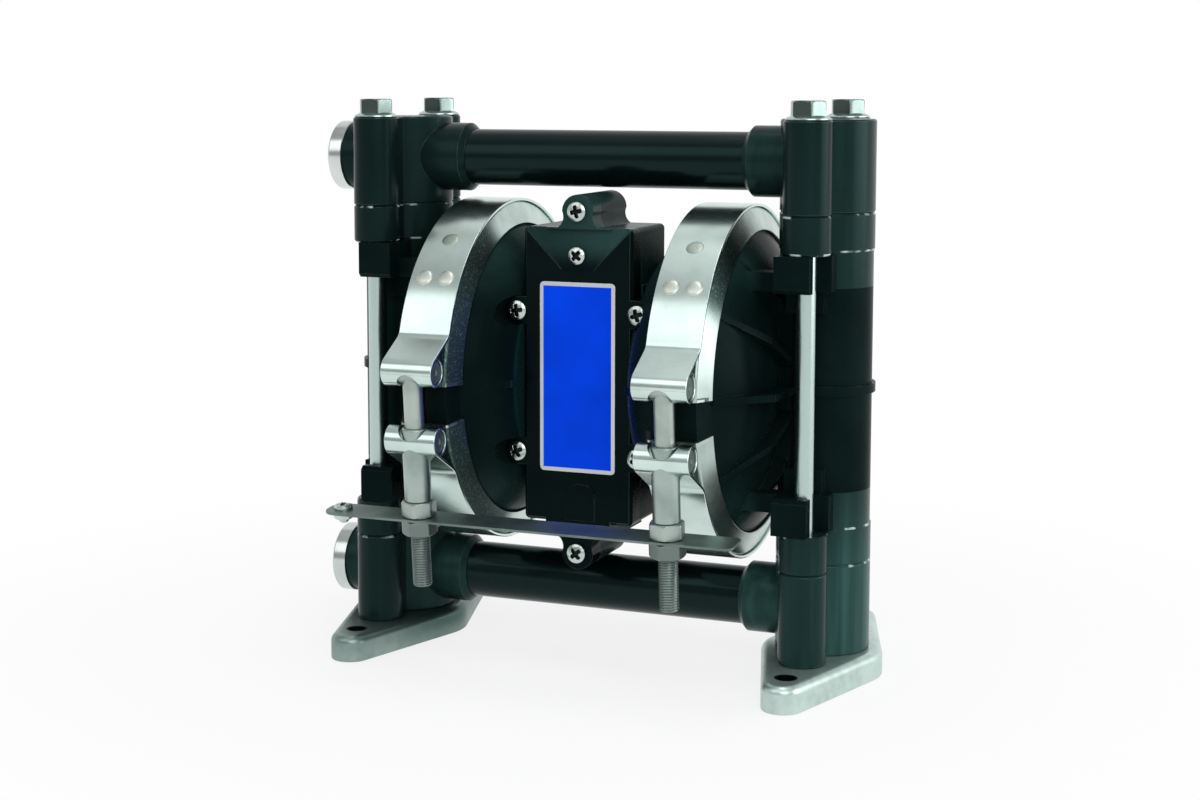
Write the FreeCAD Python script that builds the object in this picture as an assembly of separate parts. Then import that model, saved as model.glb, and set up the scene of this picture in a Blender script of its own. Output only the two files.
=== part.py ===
import FreeCAD, Part
import math
import os

# Air-operated double diaphragm pump with clamped covers.
# Millimetres. +Z is up, +X to the right, -Y towards the front with the air valve cover.
# The origin is on the floor, in the middle of the four mounting holes.
# A height counts from the middle plane of the pump, where the diaphragm shaft lies.

V = FreeCAD.Vector

# Clearances
fit_gap = 0.1
slide_gap = 0.05
body_gap = 0.3
edge_break = 0.6
hexagon_sides = 6
nut_blank_share = 0.97
head_blank_share = 0.98
flange_bevel_share = 0.55
pan_edge_share = 0.6
blank_overlap = 0.02

# Pair of cover flanges, drawn together by the wedge of the clamp
centre_half_width = 24.0
air_cover_depth = 28.3
clamp_x = centre_half_width + air_cover_depth
diaphragm_thickness = 2.0
rim_radius = 68.2
rim_depth = 7.0
root_radius = rim_radius - rim_depth
wedge_half_width = 9.35
wedge_slope = 0.4

# Band of the clamp, and the level tubes that pass over and under it
strap_rise = 4.0
strap_radius = rim_radius + strap_rise
strap_thickness = 1.2
strap_width = 22.0
tube_radius = 11.8
tube_clearance = 5.3
tube_height = strap_radius + tube_clearance + tube_radius

# Stack of each column: foot, manifold, check housing, fluid cover and back again
foot_height = 11.0
manifold_rise = 17.2
manifold_drop = 19.5
housing_boss_height = 15.3
lug_height = 14.5
check_housing_length = 29.2
seat_height = tube_height + manifold_rise
parting_height = tube_height - manifold_drop
lug_top_height = parting_height - housing_boss_height
lug_bottom_height = lug_top_height - lug_height
housing_tube_end = parting_height - check_housing_length
dome_depth = 26.5
column_stand_off = 14.2
column_x = clamp_x + dome_depth + column_stand_off
column_radius = 19.0
housing_tube_radius = 18.6
tie_y = 30.0
boss_radius = 9.5
web_half_width = 6.5

# Feet
foot_half_width = 24.5
foot_tip_radius = 8.3
foot_edge_radius = 3.5
foot_hole_radius = 4.1
foot_hole_reach = 22.0
foot_hole_y = tie_y + foot_hole_reach
foot_end_margin = 13.0
foot_half_length = foot_hole_y + foot_end_margin

# Tie bolts and their nuts
tie_radius = 3.9
tie_hole_radius = 4.3
tie_flange_radius = 8.95
tie_flange_height = 1.6
tie_head_across = 13.0
tie_head_height = 5.9
tie_crown_bevel = 0.9
tie_nut_height = 6.5
tie_nut_recess = 8.0

# Manifold tubes, collars and ports
tube_wall = 3.0
collar_radius = 14.4
collar_reach = 32.0
collar_edge = 2.2
socket_depth = 12.0
flow_radius = 8.0
port_radius = 14.2
port_reach = 25.2
port_ring_radius = 14.9
port_ring_wall = 3.0
port_ring_length = 6.6
port_thread_radius = 7.3
port_thread_length = 18.0
port_bore_radius = 6.8
tube_seal_section = 1.7
tube_seal_inset = 4.0

# Check valves
ball_radius = 6.35
ball_lift = 3.5
ball_clearance = 0.3
seat_radius = 10.4
seat_length = 5.5
seat_bore_radius = 4.9
seat_seal_section = 1.8
cage_radius = 8.6
guide_width = 2.4
guide_count = 4
guide_root = 0.5
stop_radius = 3.0
stop_height = 3.0

# Fluid covers
dome_crown_radius = 15.0
dome_wall = 4.0
dome_bulge = 0.56
chamber_bulge = 0.54
chamber_inset = 5.0
chamber_radius = root_radius - chamber_inset
cover_column_radius = 18.6
column_band_radius = 20.0
column_band_height = 3.6
neck_set_back = 2.6
chamber_window_half_width = 7.0
chamber_window_half_height = 24.0
rib_width = 2.6
rib_angles = (32.0, 62.0)
rib_flange_step = 0.6
rib_flange_x = 1.2
rib_bury = 6.0
rib_rise = 2.0
middle_rib_rise = 6.0
lug_inboard = 10.5
lug_outboard = 9.0
lug_lip_outboard = 3.8
lug_edge = 1.6
lug_web_start = 2.5
lug_web_drop = 7.0
gusset_height = 9.0
gusset_depth = 3.0
gusset_set_back = 4.0

# Air covers
air_cone_drop = 19.0
air_cover_radius = root_radius - air_cone_drop
air_rib_width = 3.0
air_rib_count = 8
air_rib_inset = 0.4
air_rib_height = 4.0
air_chamber_depth = 13.8
air_wall_x = clamp_x - air_chamber_depth
air_wall_slope = 6.0
air_chamber_inset = 7.0
air_chamber_radius = root_radius - air_chamber_inset

# Diaphragms, plates and shaft
stroke_half = 5.0
shaft_radius = 6.35
free_rubber_width = 22.0
plate_radius = air_chamber_radius - free_rubber_width
inner_plate_thickness = 5.0
outer_plate_thickness = 5.0
plate_edge = 1.8
convolution_depth = 4.0
diaphragm_bolt_radius = 4.0
diaphragm_bolt_head_across = 13.0
diaphragm_bolt_head_height = 5.2
diaphragm_bolt_depth = 14.0
bush_wall = 2.0
bush_length = 10.0
shaft_seal_wall = 3.4
shaft_seal_length = 4.0

# Pilot rod, pushed by the inner plates towards the end of each stroke
pilot_radius = 3.0
pilot_drop = 18.0
pilot_ratio = 0.4
pilot_bush_wall = 1.5
pilot_bush_length = 8.0

# Centre housing
centre_front_y = -25.2
centre_back_y = 32.0
centre_corner_radius = 8.0
valve_block_back_y = 2.0
inlet_boss_radius = 9.5
inlet_thread_radius = 5.55
inlet_thread_length = 12.0
inlet_height = 20.0
exhaust_boss_radius = 12.0
exhaust_thread_radius = 7.3
exhaust_thread_length = 12.0
rear_boss_length = 6.0
muffler_radius = 10.5
muffler_length = 30.0
muffler_edge = 2.5
muffler_wall = 2.5
muffler_end_wall = 4.0

# Air valve cover on the front, with its gasket, label plate and screws
cover_depth = 9.4
gasket_thickness = 0.8
cover_side_step = 0.5
cover_half_width = centre_half_width - cover_side_step
cover_corner_radius = 2.0
cover_edge = 1.2
cover_slope_height = 17.0
cover_slope_depth = 2.2
facet_low_half = 7.0
facet_side_step = 3.0
cover_long_edge = 20.0
lobe_shoulder = 1.2
lobe_waist_spread = 0.54
lobe_radius = 6.8
lobe_to_tube_gap = 1.2
lobe_height = tube_height - tube_radius - lobe_to_tube_gap - lobe_radius
cover_top_drop = 6.5
cover_bottom_drop = 12.5
centre_drop = 17.0
cover_top = lobe_height - cover_top_drop
cover_bottom = lobe_height - cover_bottom_drop
centre_half_height = cover_bottom - centre_drop
lobe_neck_half_width = 14.0
lobe_neck_height = 6.0
ear_stand_out = 2.4
ear_x = cover_half_width + ear_stand_out
ear_height = 28.9
ear_radius = 5.6
ear_boss_radius = 5.2
cover_screw_radius = 2.0
cover_screw_length = 20.0
cover_hole_depth = 16.0
cover_screw_head_radius = 4.0
cover_screw_head_height = 2.8
earth_screw_drop = 11.2
earth_screw_height = cover_top - earth_screw_drop
earth_screw_head_radius = 3.6
pad_left = -5.0
pad_right = 7.6
pad_edge_margin = 1.0
pad_height = 15.0
pad_bottom = pad_edge_margin - cover_bottom
pad_top = pad_bottom + pad_height
pad_thickness = 0.9
pad_corner_radius = 5.5
label_half_width = 16.4
label_top_margin = 21.9
label_bottom_margin = 20.7
label_top = cover_top - label_top_margin
label_bottom = label_bottom_margin - cover_bottom
label_thickness = 0.6
label_corner_radius = 1.8

# Air valve inside the cover
valve_pocket_half_width = 12.0
valve_pocket_margin = 13.0
valve_pocket_half_height = cover_bottom - valve_pocket_margin
valve_pocket_depth = 12.2
cover_pocket_depth = 7.4
valve_plate_thickness = 2.0
valve_plate_half_width = 10.0
valve_plate_half_height = 16.0
valve_port_radius = 2.2
valve_port_pitch = 8.0
valve_block_thickness = 4.0
valve_block_half_width = 7.0
valve_block_half_height = 8.5
carriage_half_width = 6.0
carriage_depth = 8.0
piston_radius = 6.0
piston_length = 14.0
piston_end_room = 8.0
carriage_half_height = valve_pocket_half_height - piston_length - piston_end_room
bearing_length = 14.0
bearing_wall = 1.6
carriage_rail = 2.0
carriage_end_wall = 3.0

# Clamps, drawn in their own frame and then turned about the shaft axis
clamp_turn = 5.5
strap_leave_height = 27.0
retainer_wall = 1.7
retainer_web = 1.5
retainer_leg_radius = root_radius + body_gap
retainer_gap_half_height = 8.0
retainer_rear_gap_half_height = 4.0
bolt_set_off = 6.4
bolt_centre_y = -strap_radius - bolt_set_off
loop_top_height = 15.5
loop_low_height = 12.5
loop_radius = 5.9
loop_notch_top = 9.4
loop_notch_bottom = 11.8
loop_notch_reach = 12.0
t_bolt_radius = 3.9
t_bolt_end = -72.0
t_bolt_thread_break = 0.6
t_pin_length = 20.6
trunnion_sleeve_radius = 5.4
trunnion_sleeve_end = -36.8
jam_nut_across = 12.7
jam_nut_height = 6.4
lock_nut_across = 12.7
lock_nut_height = 6.5
rivet_radius = 3.5
rivet_height = 1.2
rivet_half_pitch = 4.7
rivet_angle = 42.0
weld_dimple_angle = 58.0
weld_dimple_height = 0.5

# Earthing strip that joins the two clamp bolts
strip_thickness = 1.0
strip_width = 14.4
strip_left_round = 5.8
strip_right_round = 2.9
strip_left_overhang = 40.7
strip_right_overhang = 27.7
strip_left = -clamp_x - strip_left_overhang
strip_right = clamp_x + strip_right_overhang
strip_screw_inset = 6.5
strip_screw_radius = 2.0
strip_screw_head_radius = 3.8
strip_screw_head_height = 2.2
strip_nut_across = 7.0
strip_nut_height = 3.0
strip_screw_tail = 1.5

mid_z = foot_height + seat_height
UP = V(0, 0, 1)
RIGHT = V(1, 0, 0)
BACK = V(0, 1, 0)
SHAFT_ORIGIN = V(0, 0, mid_z)


def at(x, y, height):
    """Point given by its height from the middle plane of the pump."""
    return V(x, y, mid_z + height)


def rod(radius, start, direction, length):
    """Round bar along a direction, from its start point."""
    return Part.makeCylinder(radius, length, start, direction)


def tube(outer, inner, start, direction, length):
    """Round pipe along a direction."""
    return rod(outer, start, direction, length).cut(rod(inner, start, direction, length))


def block(x_range, y_range, height_range):
    """Rectangular block between two values on each axis."""
    x0, x1 = x_range
    y0, y1 = y_range
    h0, h1 = height_range
    return Part.makeBox(x1 - x0, y1 - y0, h1 - h0, at(x0, y0, h0))


def hexagon(across, start, direction, length):
    """Hexagonal prism with the given width across its flats."""
    corner = across / math.sqrt(3)
    if abs(direction.z) > 0.5:
        first, second = RIGHT, BACK
    else:
        first, second = BACK, UP
    points = []
    for corner_index in range(hexagon_sides + 1):
        angle = 2 * math.pi * corner_index / hexagon_sides
        reach = first * (corner * math.cos(angle)) + second * (corner * math.sin(angle))
        points.append(start + reach)
    return Part.Face(Part.makePolygon(points)).extrude(direction * length)


def outline(start, *steps):
    """Closed wire: a step is an end point, or a point on an arc followed by its end point."""
    edges = []
    here = start
    for step in steps:
        if len(step) == 1:
            edges.append(Part.LineSegment(here, step[0]).toShape())
        else:
            edges.append(Part.Arc(here, step[0], step[1]).toShape())
        here = step[-1]
    if (here - start).Length > 1e-6:
        edges.append(Part.LineSegment(here, start).toShape())
    return Part.Wire(edges)


def turned(wire, angle=360.0):
    """Solid swept by a closed wire that turns about the shaft axis."""
    return Part.Face(wire).revolve(SHAFT_ORIGIN, RIGHT, angle)


def above_axis(x, radius):
    """Point of a turned profile, drawn above the shaft axis."""
    return at(x, 0, radius)


def fused(first, *others):
    """One solid from pieces that touch or cross."""
    return first.multiFuse(list(others)).removeSplitter()


def left_of(shape):
    """The same shape on the other side of the pump."""
    return shape.mirror(V(0, 0, 0), RIGHT)


def below(shape):
    """The same shape below the middle plane."""
    return shape.mirror(SHAFT_ORIGIN, UP)


def edges_at_height(shape, height):
    """Edges that lie in a level plane."""
    level = mid_z + height
    found = []
    for edge in shape.Edges:
        box = edge.BoundBox
        if abs(box.ZMin - level) < 1e-4 and abs(box.ZMax - level) < 1e-4:
            found.append(edge)
    return found


def edges_at_y(shape, y):
    """Edges that lie in a plane across the pump's depth."""
    return [e for e in shape.Edges if abs(e.BoundBox.YMin - y) < 1e-4 and abs(e.BoundBox.YMax - y) < 1e-4]


def save(name, *shapes):
    """Write one node, whose pieces stay separate solids."""
    solids = []
    for shape in shapes:
        solids.extend(shape.Solids)
    body = solids[0] if len(solids) == 1 else Part.makeCompound(solids)
    body.exportStep("parts/" + name + ".step")
    print(name, len(solids), "solids,", round(sum(solid.Volume for solid in solids)), "mm3")


def column_prism(low, high):
    """Plan of a column: a round body with a tie bolt boss in front and behind."""
    height = high - low
    body = rod(column_radius, at(column_x, 0, low), UP, height)
    front = rod(boss_radius, at(column_x, -tie_y, low), UP, height)
    back = rod(boss_radius, at(column_x, tie_y, low), UP, height)
    web_x = (column_x - web_half_width, column_x + web_half_width)
    web = block(web_x, (-tie_y, tie_y), (low, high))
    prism = fused(body, front, back, web)
    rims = edges_at_height(prism, low) + edges_at_height(prism, high)
    return prism.makeChamfer(edge_break, rims)


def tie_holes(low, high):
    """Clearance holes of the two tie bolts of the right column."""
    front = rod(tie_hole_radius, at(column_x, -tie_y, low), UP, high - low)
    back = rod(tie_hole_radius, at(column_x, tie_y, low), UP, high - low)
    return front.fuse(back)


def elbow():
    """Upper right manifold: a column block with a collar for the level tube."""
    collar_end = column_x - collar_reach
    prism = column_prism(parting_height, seat_height)
    collar = rod(collar_radius, at(collar_end, 0, tube_height), RIGHT, collar_reach)
    rim = [e for e in collar.Edges if e.BoundBox.XMax < collar_end + 1e-4]
    body = prism.fuse(collar.makeChamfer(collar_edge, rim))
    rise = rod(flow_radius, at(column_x, 0, parting_height), UP, tube_height - parting_height)
    corner = Part.makeSphere(flow_radius, at(column_x, 0, tube_height))
    run = rod(flow_radius, at(collar_end, 0, tube_height), RIGHT, collar_reach)
    socket = rod(tube_radius + fit_gap, at(collar_end, 0, tube_height), RIGHT, socket_depth)
    return body.cut(fused(rise, corner, run)).cut(socket).cut(tie_holes(parting_height, seat_height))


def tee():
    """Upper right manifold with a threaded port outboard, as the left column has."""
    face_x = column_x + port_reach
    end_x = face_x + port_ring_length
    spigot_radius = port_ring_radius - port_ring_wall
    port = rod(port_radius, at(column_x, 0, tube_height), RIGHT, port_reach)
    spigot = rod(spigot_radius, at(column_x, 0, tube_height), RIGHT, end_x - column_x)
    holes = tie_holes(parting_height, seat_height)
    rise = rod(flow_radius, at(column_x, 0, parting_height), UP, tube_height - parting_height)
    thread_start = at(end_x - port_thread_length, 0, tube_height)
    thread = rod(port_thread_radius, thread_start, RIGHT, port_thread_length)
    bore = rod(port_bore_radius, at(column_x, 0, tube_height), RIGHT, end_x - column_x)
    solid = elbow().fuse(port).fuse(spigot)
    return solid.cut(fused(bore, thread, rise)).cut(holes).removeSplitter()


def port_ring():
    """Metal ring pressed round the mouth of the upper right port."""
    face_x = column_x + port_reach
    inner = port_ring_radius - port_ring_wall + slide_gap
    ring = tube(port_ring_radius, inner, at(face_x, 0, tube_height), RIGHT, port_ring_length)
    outer_x = face_x + port_ring_length
    rim = [e for e in ring.Edges if e.BoundBox.XMin > outer_x - 1e-4
           and e.BoundBox.YMax > port_ring_radius - edge_break]
    return ring.makeChamfer(edge_break, rim)


def manifold_tube():
    """Level tube between the upper manifolds, with a seal groove near each end."""
    half = column_x - collar_reach + socket_depth - body_gap
    pipe = tube(tube_radius, tube_radius - tube_wall, at(-half, 0, tube_height), RIGHT, 2 * half)
    width = tube_seal_section + 2 * fit_gap
    for centre in tube_seal_places():
        start = at(centre - width / 2, 0, tube_height)
        pipe = pipe.cut(tube(tube_radius + 1, tube_radius - tube_seal_section, start, RIGHT, width))
    return pipe


def tube_seal_places():
    """X of the seal rings on a manifold tube."""
    place = column_x - collar_reach + tube_seal_inset
    return (-place, place)


def tube_seals():
    """Rubber rings in the grooves of the upper tube."""
    inner = tube_radius - tube_seal_section + slide_gap
    rings = []
    for place in tube_seal_places():
        start = at(place - tube_seal_section / 2, 0, tube_height)
        rings.append(tube(tube_radius + slide_gap, inner, start, RIGHT, tube_seal_section))
    return rings


def check_base(upper):
    """Height at which the valve seat of a check housing starts."""
    return housing_tube_end if upper else -parting_height


def ball_rest(upper):
    """Height of a ball's centre when it rests on its seat."""
    rise = math.sqrt(ball_radius ** 2 - seat_bore_radius ** 2)
    return check_base(upper) + seat_length + rise + slide_gap


def check_housing(upper):
    """Right check housing: bosses beside a round body that holds seat, guides and ball."""
    shell = column_prism(lug_top_height, parting_height)
    height = parting_height - housing_tube_end
    shell = shell.fuse(rod(housing_tube_radius, at(column_x, 0, housing_tube_end), UP, height))
    shell = shell.cut(tie_holes(lug_top_height, parting_height))
    if not upper:
        shell = below(shell)
    base = check_base(upper)
    seat_top = base + seat_length
    stop_low = ball_rest(upper) + ball_lift + ball_radius + slide_gap
    shell = shell.cut(rod(cage_radius, at(column_x, 0, base), UP, height))
    shell = shell.cut(rod(seat_radius + fit_gap, at(column_x, 0, base), UP, seat_length))
    guide_inner = ball_radius + ball_clearance
    for index in range(guide_count):
        turn = 360.0 * (index + 0.5) / guide_count
        half = guide_width / 2
        outer_x = column_x + cage_radius + guide_root
        guide = block((column_x + guide_inner, outer_x), (-half, half), (seat_top, stop_low + stop_height))
        stop = block((column_x + stop_radius, outer_x), (-half, half), (stop_low, stop_low + stop_height))
        fin = guide.fuse(stop)
        fin.rotate(at(column_x, 0, 0), UP, turn)
        shell = shell.fuse(fin)
    return shell.removeSplitter()


def valve_seat(upper):
    """Ring under the ball, with a rebate for its seal."""
    base = check_base(upper)
    rebate = seat_radius - seat_seal_section
    seat = rod(seat_radius, at(column_x, 0, base + seat_seal_section), UP, seat_length - seat_seal_section)
    seat = seat.fuse(rod(rebate, at(column_x, 0, base), UP, seat_seal_section))
    return seat.cut(rod(seat_bore_radius, at(column_x, 0, base), UP, seat_length)).removeSplitter()


def seat_seal(upper):
    """Rubber ring in the rebate of a seat."""
    inner = seat_radius - seat_seal_section + slide_gap
    return tube(seat_radius, inner, at(column_x, 0, check_base(upper)), UP, seat_seal_section - slide_gap)


def cover_face_x():
    """Where a fluid cover meets the diaphragm."""
    return clamp_x + diaphragm_thickness / 2


def flange_half_width(radius):
    """Half width of the wedge made by the two flanges at a radius."""
    return wedge_half_width + wedge_slope * (rim_radius - radius)


def fluid_dome():
    """Turned outside of a fluid cover, from the wedge flange to the crown."""
    face = cover_face_x()
    rim_x = clamp_x + flange_half_width(rim_radius)
    root_x = clamp_x + flange_half_width(root_radius)
    crown_x = clamp_x + dome_depth
    middle = above_axis((2 * crown_x + root_x) / 3, (root_radius + dome_crown_radius) * dome_bulge)
    return turned(outline(
        above_axis(face, 0),
        (above_axis(face, rim_radius),),
        (above_axis(rim_x, rim_radius),),
        (above_axis(root_x, root_radius),),
        (middle, above_axis(crown_x, dome_crown_radius)),
        (above_axis(crown_x, 0),)))


def fluid_chamber():
    """Turned hollow of a fluid cover."""
    face = cover_face_x()
    shoulder_x = clamp_x + flange_half_width(root_radius) - dome_wall
    crown_x = clamp_x + dome_depth - dome_wall
    middle_radius = (chamber_radius + dome_crown_radius) * chamber_bulge
    middle = above_axis((2 * crown_x + shoulder_x) / 3, middle_radius)
    return turned(outline(
        above_axis(face, 0),
        (above_axis(face, chamber_radius),),
        (above_axis(shoulder_x, chamber_radius),),
        (middle, above_axis(crown_x, dome_crown_radius)),
        (above_axis(crown_x, 0),)))


def radial_rib(angle, crest_x, crest_radius):
    """Upright rib between the flange and the column, turned to its angle about the shaft."""
    root_x = clamp_x + flange_half_width(root_radius)
    profile = Part.makePolygon([
        at(root_x - dome_wall / 2, -rib_width / 2, root_radius - rib_bury),
        at(root_x + rib_flange_x, -rib_width / 2, root_radius - rib_flange_step),
        at(crest_x, -rib_width / 2, crest_radius),
        at(column_x - rib_bury, -rib_width / 2, rib_bury),
        at(column_x - rib_bury, -rib_width / 2, 0),
        at(clamp_x + dome_depth - dome_wall / 2, -rib_width / 2, 0),
        at(root_x - dome_wall / 2, -rib_width / 2, root_radius - rib_bury)])
    rib = Part.Face(profile).extrude(V(0, rib_width, 0))
    rib.rotate(SHAFT_ORIGIN, RIGHT, angle)
    return rib


def cover_lug():
    """Upper front lug of the right fluid cover, with a slot that opens outboard round the rod."""
    x_in = column_x - lug_inboard
    x_out = column_x + lug_outboard
    front = -tie_y - boss_radius
    inner = -column_radius
    rail = block((x_in, x_out), (front, inner), (lug_bottom_height, lug_top_height))
    rail = rail.makeChamfer(lug_edge, [e for e in rail.Edges if e.BoundBox.YMax < front + 1e-4
                                       and abs(e.BoundBox.ZMin - mid_z - lug_bottom_height) < 1e-4
                                       and e.BoundBox.XLength > 1])
    web_x = (clamp_x + flange_half_width(root_radius) + lug_web_start, x_in + lug_edge)
    web = block(web_x, (-tie_y, inner - 1), (lug_bottom_height, lug_top_height - lug_web_drop))
    gusset = block((x_in, x_out - gusset_set_back), (inner - gusset_depth, -column_radius / 2),
                   (lug_bottom_height - gusset_height, lug_bottom_height))
    lug = fused(rail, web, gusset)
    slot_high = lug_top_height - lug_bottom_height
    bore = rod(tie_hole_radius, at(column_x, -tie_y, lug_bottom_height), UP, slot_high)
    slot = block((column_x, x_out), (-tie_y - tie_hole_radius, -tie_y + tie_hole_radius),
                 (lug_bottom_height, lug_top_height))
    lip = block((column_x + lug_lip_outboard, x_out), (front, -tie_y), (lug_bottom_height, lug_top_height))
    return lug.cut(fused(bore, slot, lip))


def fluid_cover():
    """Right fluid cover: ribbed dome, flow column and four slotted lugs."""
    dome = fluid_dome()
    low = -housing_tube_end
    high = 2 * housing_tube_end
    column = rod(cover_column_radius, at(column_x, 0, low), UP, high)
    band = rod(column_band_radius, at(column_x, 0, -column_band_height / 2), UP, column_band_height)
    neck_x = (clamp_x + dome_depth - dome_wall / 2, column_x)
    neck_half = cover_column_radius - neck_set_back
    neck = block(neck_x, (-neck_half, neck_half), (low + neck_set_back, housing_tube_end - neck_set_back))
    pieces = [column, band, neck]
    half_way = (root_radius + cover_column_radius) / 2
    for side in (-90.0, 90.0):
        crest = clamp_x + dome_depth + middle_rib_rise
        pieces.append(radial_rib(side, crest, half_way + rib_rise))
        for rib_angle in rib_angles:
            for up in (-1, 1):
                crest = clamp_x + dome_depth + rib_rise
                pieces.append(radial_rib(side + up * rib_angle, crest, half_way))
    lug = cover_lug()
    back_lug = lug.mirror(V(0, 0, 0), BACK)
    pieces += [lug, back_lug, below(lug), below(back_lug)]
    cover = dome.multiFuse(pieces)
    bore_low = at(column_x, 0, low)
    cover = cover.cut(fluid_chamber()).cut(rod(flow_radius, bore_low, UP, high))
    window = block((clamp_x + dome_depth - dome_wall - 1, column_x),
                   (-chamber_window_half_width, chamber_window_half_width),
                   (-chamber_window_half_height, chamber_window_half_height))
    cover = cover.cut(window)
    for top in (True, False):
        start = at(column_x, 0, housing_tube_end if top else -lug_top_height - 1)
        room = rod(housing_tube_radius + body_gap, start, UP, lug_top_height + 1 - housing_tube_end)
        cover = cover.cut(room)
    return cover.removeSplitter()


def ear_bosses(radius):
    """Bosses on the right air cover that take the side screws of the valve cover."""
    bosses = []
    for up in (-1, 1):
        start = at(ear_x, centre_front_y, up * ear_height)
        bosses.append(rod(radius, start, BACK, cover_screw_length))
    return bosses


def air_cover():
    """Right air cover: wedge flange, coned back with ribs, chamber for the inner plate."""
    face = clamp_x - diaphragm_thickness / 2
    rim_x = clamp_x - flange_half_width(rim_radius)
    root_x = clamp_x - flange_half_width(root_radius)
    bulge = above_axis((root_x + centre_half_width) / 2 - 1, (root_radius + air_cover_radius) / 2 + 3)
    shell = turned(outline(
        above_axis(centre_half_width, 0),
        (above_axis(centre_half_width, air_cover_radius),),
        (bulge, above_axis(root_x, root_radius)),
        (above_axis(rim_x, rim_radius),),
        (above_axis(face, rim_radius),),
        (above_axis(face, 0),)))
    rib_profile = Part.makePolygon([
        at(centre_half_width, -air_rib_width / 2, air_cover_radius - 3),
        at(centre_half_width, -air_rib_width / 2, air_cover_radius + air_rib_height),
        at(root_x - 1, -air_rib_width / 2, root_radius - air_rib_inset),
        at(root_x, -air_rib_width / 2, root_radius - 3),
        at(centre_half_width, -air_rib_width / 2, air_cover_radius - 3)])
    ribs = []
    for index in range(air_rib_count):
        rib = Part.Face(rib_profile).extrude(V(0, air_rib_width, 0))
        rib.rotate(SHAFT_ORIGIN, RIGHT, 360.0 * index / air_rib_count)
        ribs.append(rib)
    shell = shell.multiFuse(ribs + ear_bosses(ear_boss_radius))
    slope_x = air_wall_x + air_wall_slope
    hollow = turned(outline(
        above_axis(air_wall_x, 0),
        (above_axis(air_wall_x, plate_radius + 3),),
        (above_axis(slope_x, air_chamber_radius),),
        (above_axis(face, air_chamber_radius),),
        (above_axis(face, 0),)))
    shell = shell.cut(hollow)
    for up in (-1, 1):
        start = at(ear_x, -rim_radius, up * ear_height)
        shell = shell.cut(rod(ear_radius + body_gap, start, BACK, rim_radius + centre_front_y))
    seal_start = at(centre_half_width, 0, 0)
    shell = shell.cut(rod(shaft_radius + body_gap, seal_start, RIGHT, air_wall_x))
    shell = shell.cut(rod(shaft_radius + shaft_seal_wall + fit_gap, seal_start, RIGHT, shaft_seal_length))
    pilot_start = at(centre_half_width, 0, -pilot_drop)
    shell = shell.cut(rod(pilot_radius + body_gap, pilot_start, RIGHT, air_wall_x))
    for up in (-1, 1):
        hole = rod(cover_screw_radius + slide_gap, at(ear_x, centre_front_y, up * ear_height), BACK,
                   cover_hole_depth)
        shell = shell.cut(hole)
    return shell.removeSplitter()


def diaphragm():
    """Right diaphragm: flat rim and centre with one rolled convolution between them."""
    half = diaphragm_thickness / 2
    fold_in = plate_radius + 2
    fold_out = air_chamber_radius - 1
    middle = (fold_in + fold_out) / 2
    inner = clamp_x - half
    outer = clamp_x + half
    bore = diaphragm_bolt_radius + fit_gap
    return turned(outline(
        above_axis(inner, bore),
        (above_axis(inner, fold_in),),
        (above_axis(inner - convolution_depth, middle), above_axis(inner, fold_out)),
        (above_axis(inner, rim_radius - 2),),
        (above_axis(outer, rim_radius - 2),),
        (above_axis(outer, fold_out),),
        (above_axis(outer - convolution_depth, middle), above_axis(outer, fold_in)),
        (above_axis(outer, bore),)))


def plate(x0, x1, rounded_x):
    """Diaphragm plate between two X values, its rim rounded on the side away from the rubber."""
    disc = rod(plate_radius, at(x0, 0, 0), RIGHT, x1 - x0)
    rim = [e for e in disc.Edges if abs(e.BoundBox.XMin - rounded_x) < 1e-4 and e.BoundBox.XLength < 1e-4]
    return disc.makeFillet(plate_edge, rim)


def inner_plate():
    """Plate on the air side of the right diaphragm."""
    outer_x = clamp_x - diaphragm_thickness / 2
    inner_x = outer_x - inner_plate_thickness
    disc = plate(inner_x, outer_x, inner_x)
    return disc.cut(rod(diaphragm_bolt_radius + fit_gap, at(inner_x, 0, 0), RIGHT, inner_plate_thickness))


def outer_plate():
    """Plate on the fluid side of the right diaphragm."""
    inner_x = cover_face_x()
    outer_x = inner_x + outer_plate_thickness
    disc = plate(inner_x, outer_x, outer_x)
    return disc.cut(rod(diaphragm_bolt_radius + fit_gap, at(inner_x, 0, 0), RIGHT, outer_plate_thickness))


def shaft_end_x():
    """Where the shaft shoulder meets the inner plate."""
    return clamp_x - diaphragm_thickness / 2 - inner_plate_thickness


def diaphragm_bolt():
    """Bolt that clamps the right plates to the shaft end."""
    seat_x = cover_face_x() + outer_plate_thickness
    tip_x = shaft_end_x() - diaphragm_bolt_depth
    shank = rod(diaphragm_bolt_radius, at(tip_x, 0, 0), RIGHT, seat_x - tip_x)
    head = hexagon(diaphragm_bolt_head_across, at(seat_x, 0, 0), RIGHT, diaphragm_bolt_head_height)
    return shank.fuse(head)


def diaphragm_shaft():
    """Shaft that joins the two diaphragms, threaded inside at both ends."""
    half = shaft_end_x()
    shaft = rod(shaft_radius, at(-half, 0, 0), RIGHT, 2 * half)
    depth = diaphragm_bolt_depth + 2
    hole = diaphragm_bolt_radius + slide_gap
    shaft = shaft.cut(rod(hole, at(half - depth, 0, 0), RIGHT, depth))
    return shaft.cut(rod(hole, at(-half, 0, 0), RIGHT, depth))


def pilot_half_length():
    """Half the pilot rod, so that the plates reach it with the lost motion that its ratio leaves."""
    return shaft_end_x() - (1 - pilot_ratio) * stroke_half - body_gap


def shaft_bushes():
    """Bearing bushes of the shaft near the two faces of the centre housing."""
    bush = tube(shaft_radius + bush_wall, shaft_radius + slide_gap,
                at(centre_half_width - bush_length, 0, 0), RIGHT, bush_length)
    return bush, left_of(bush)


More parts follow.
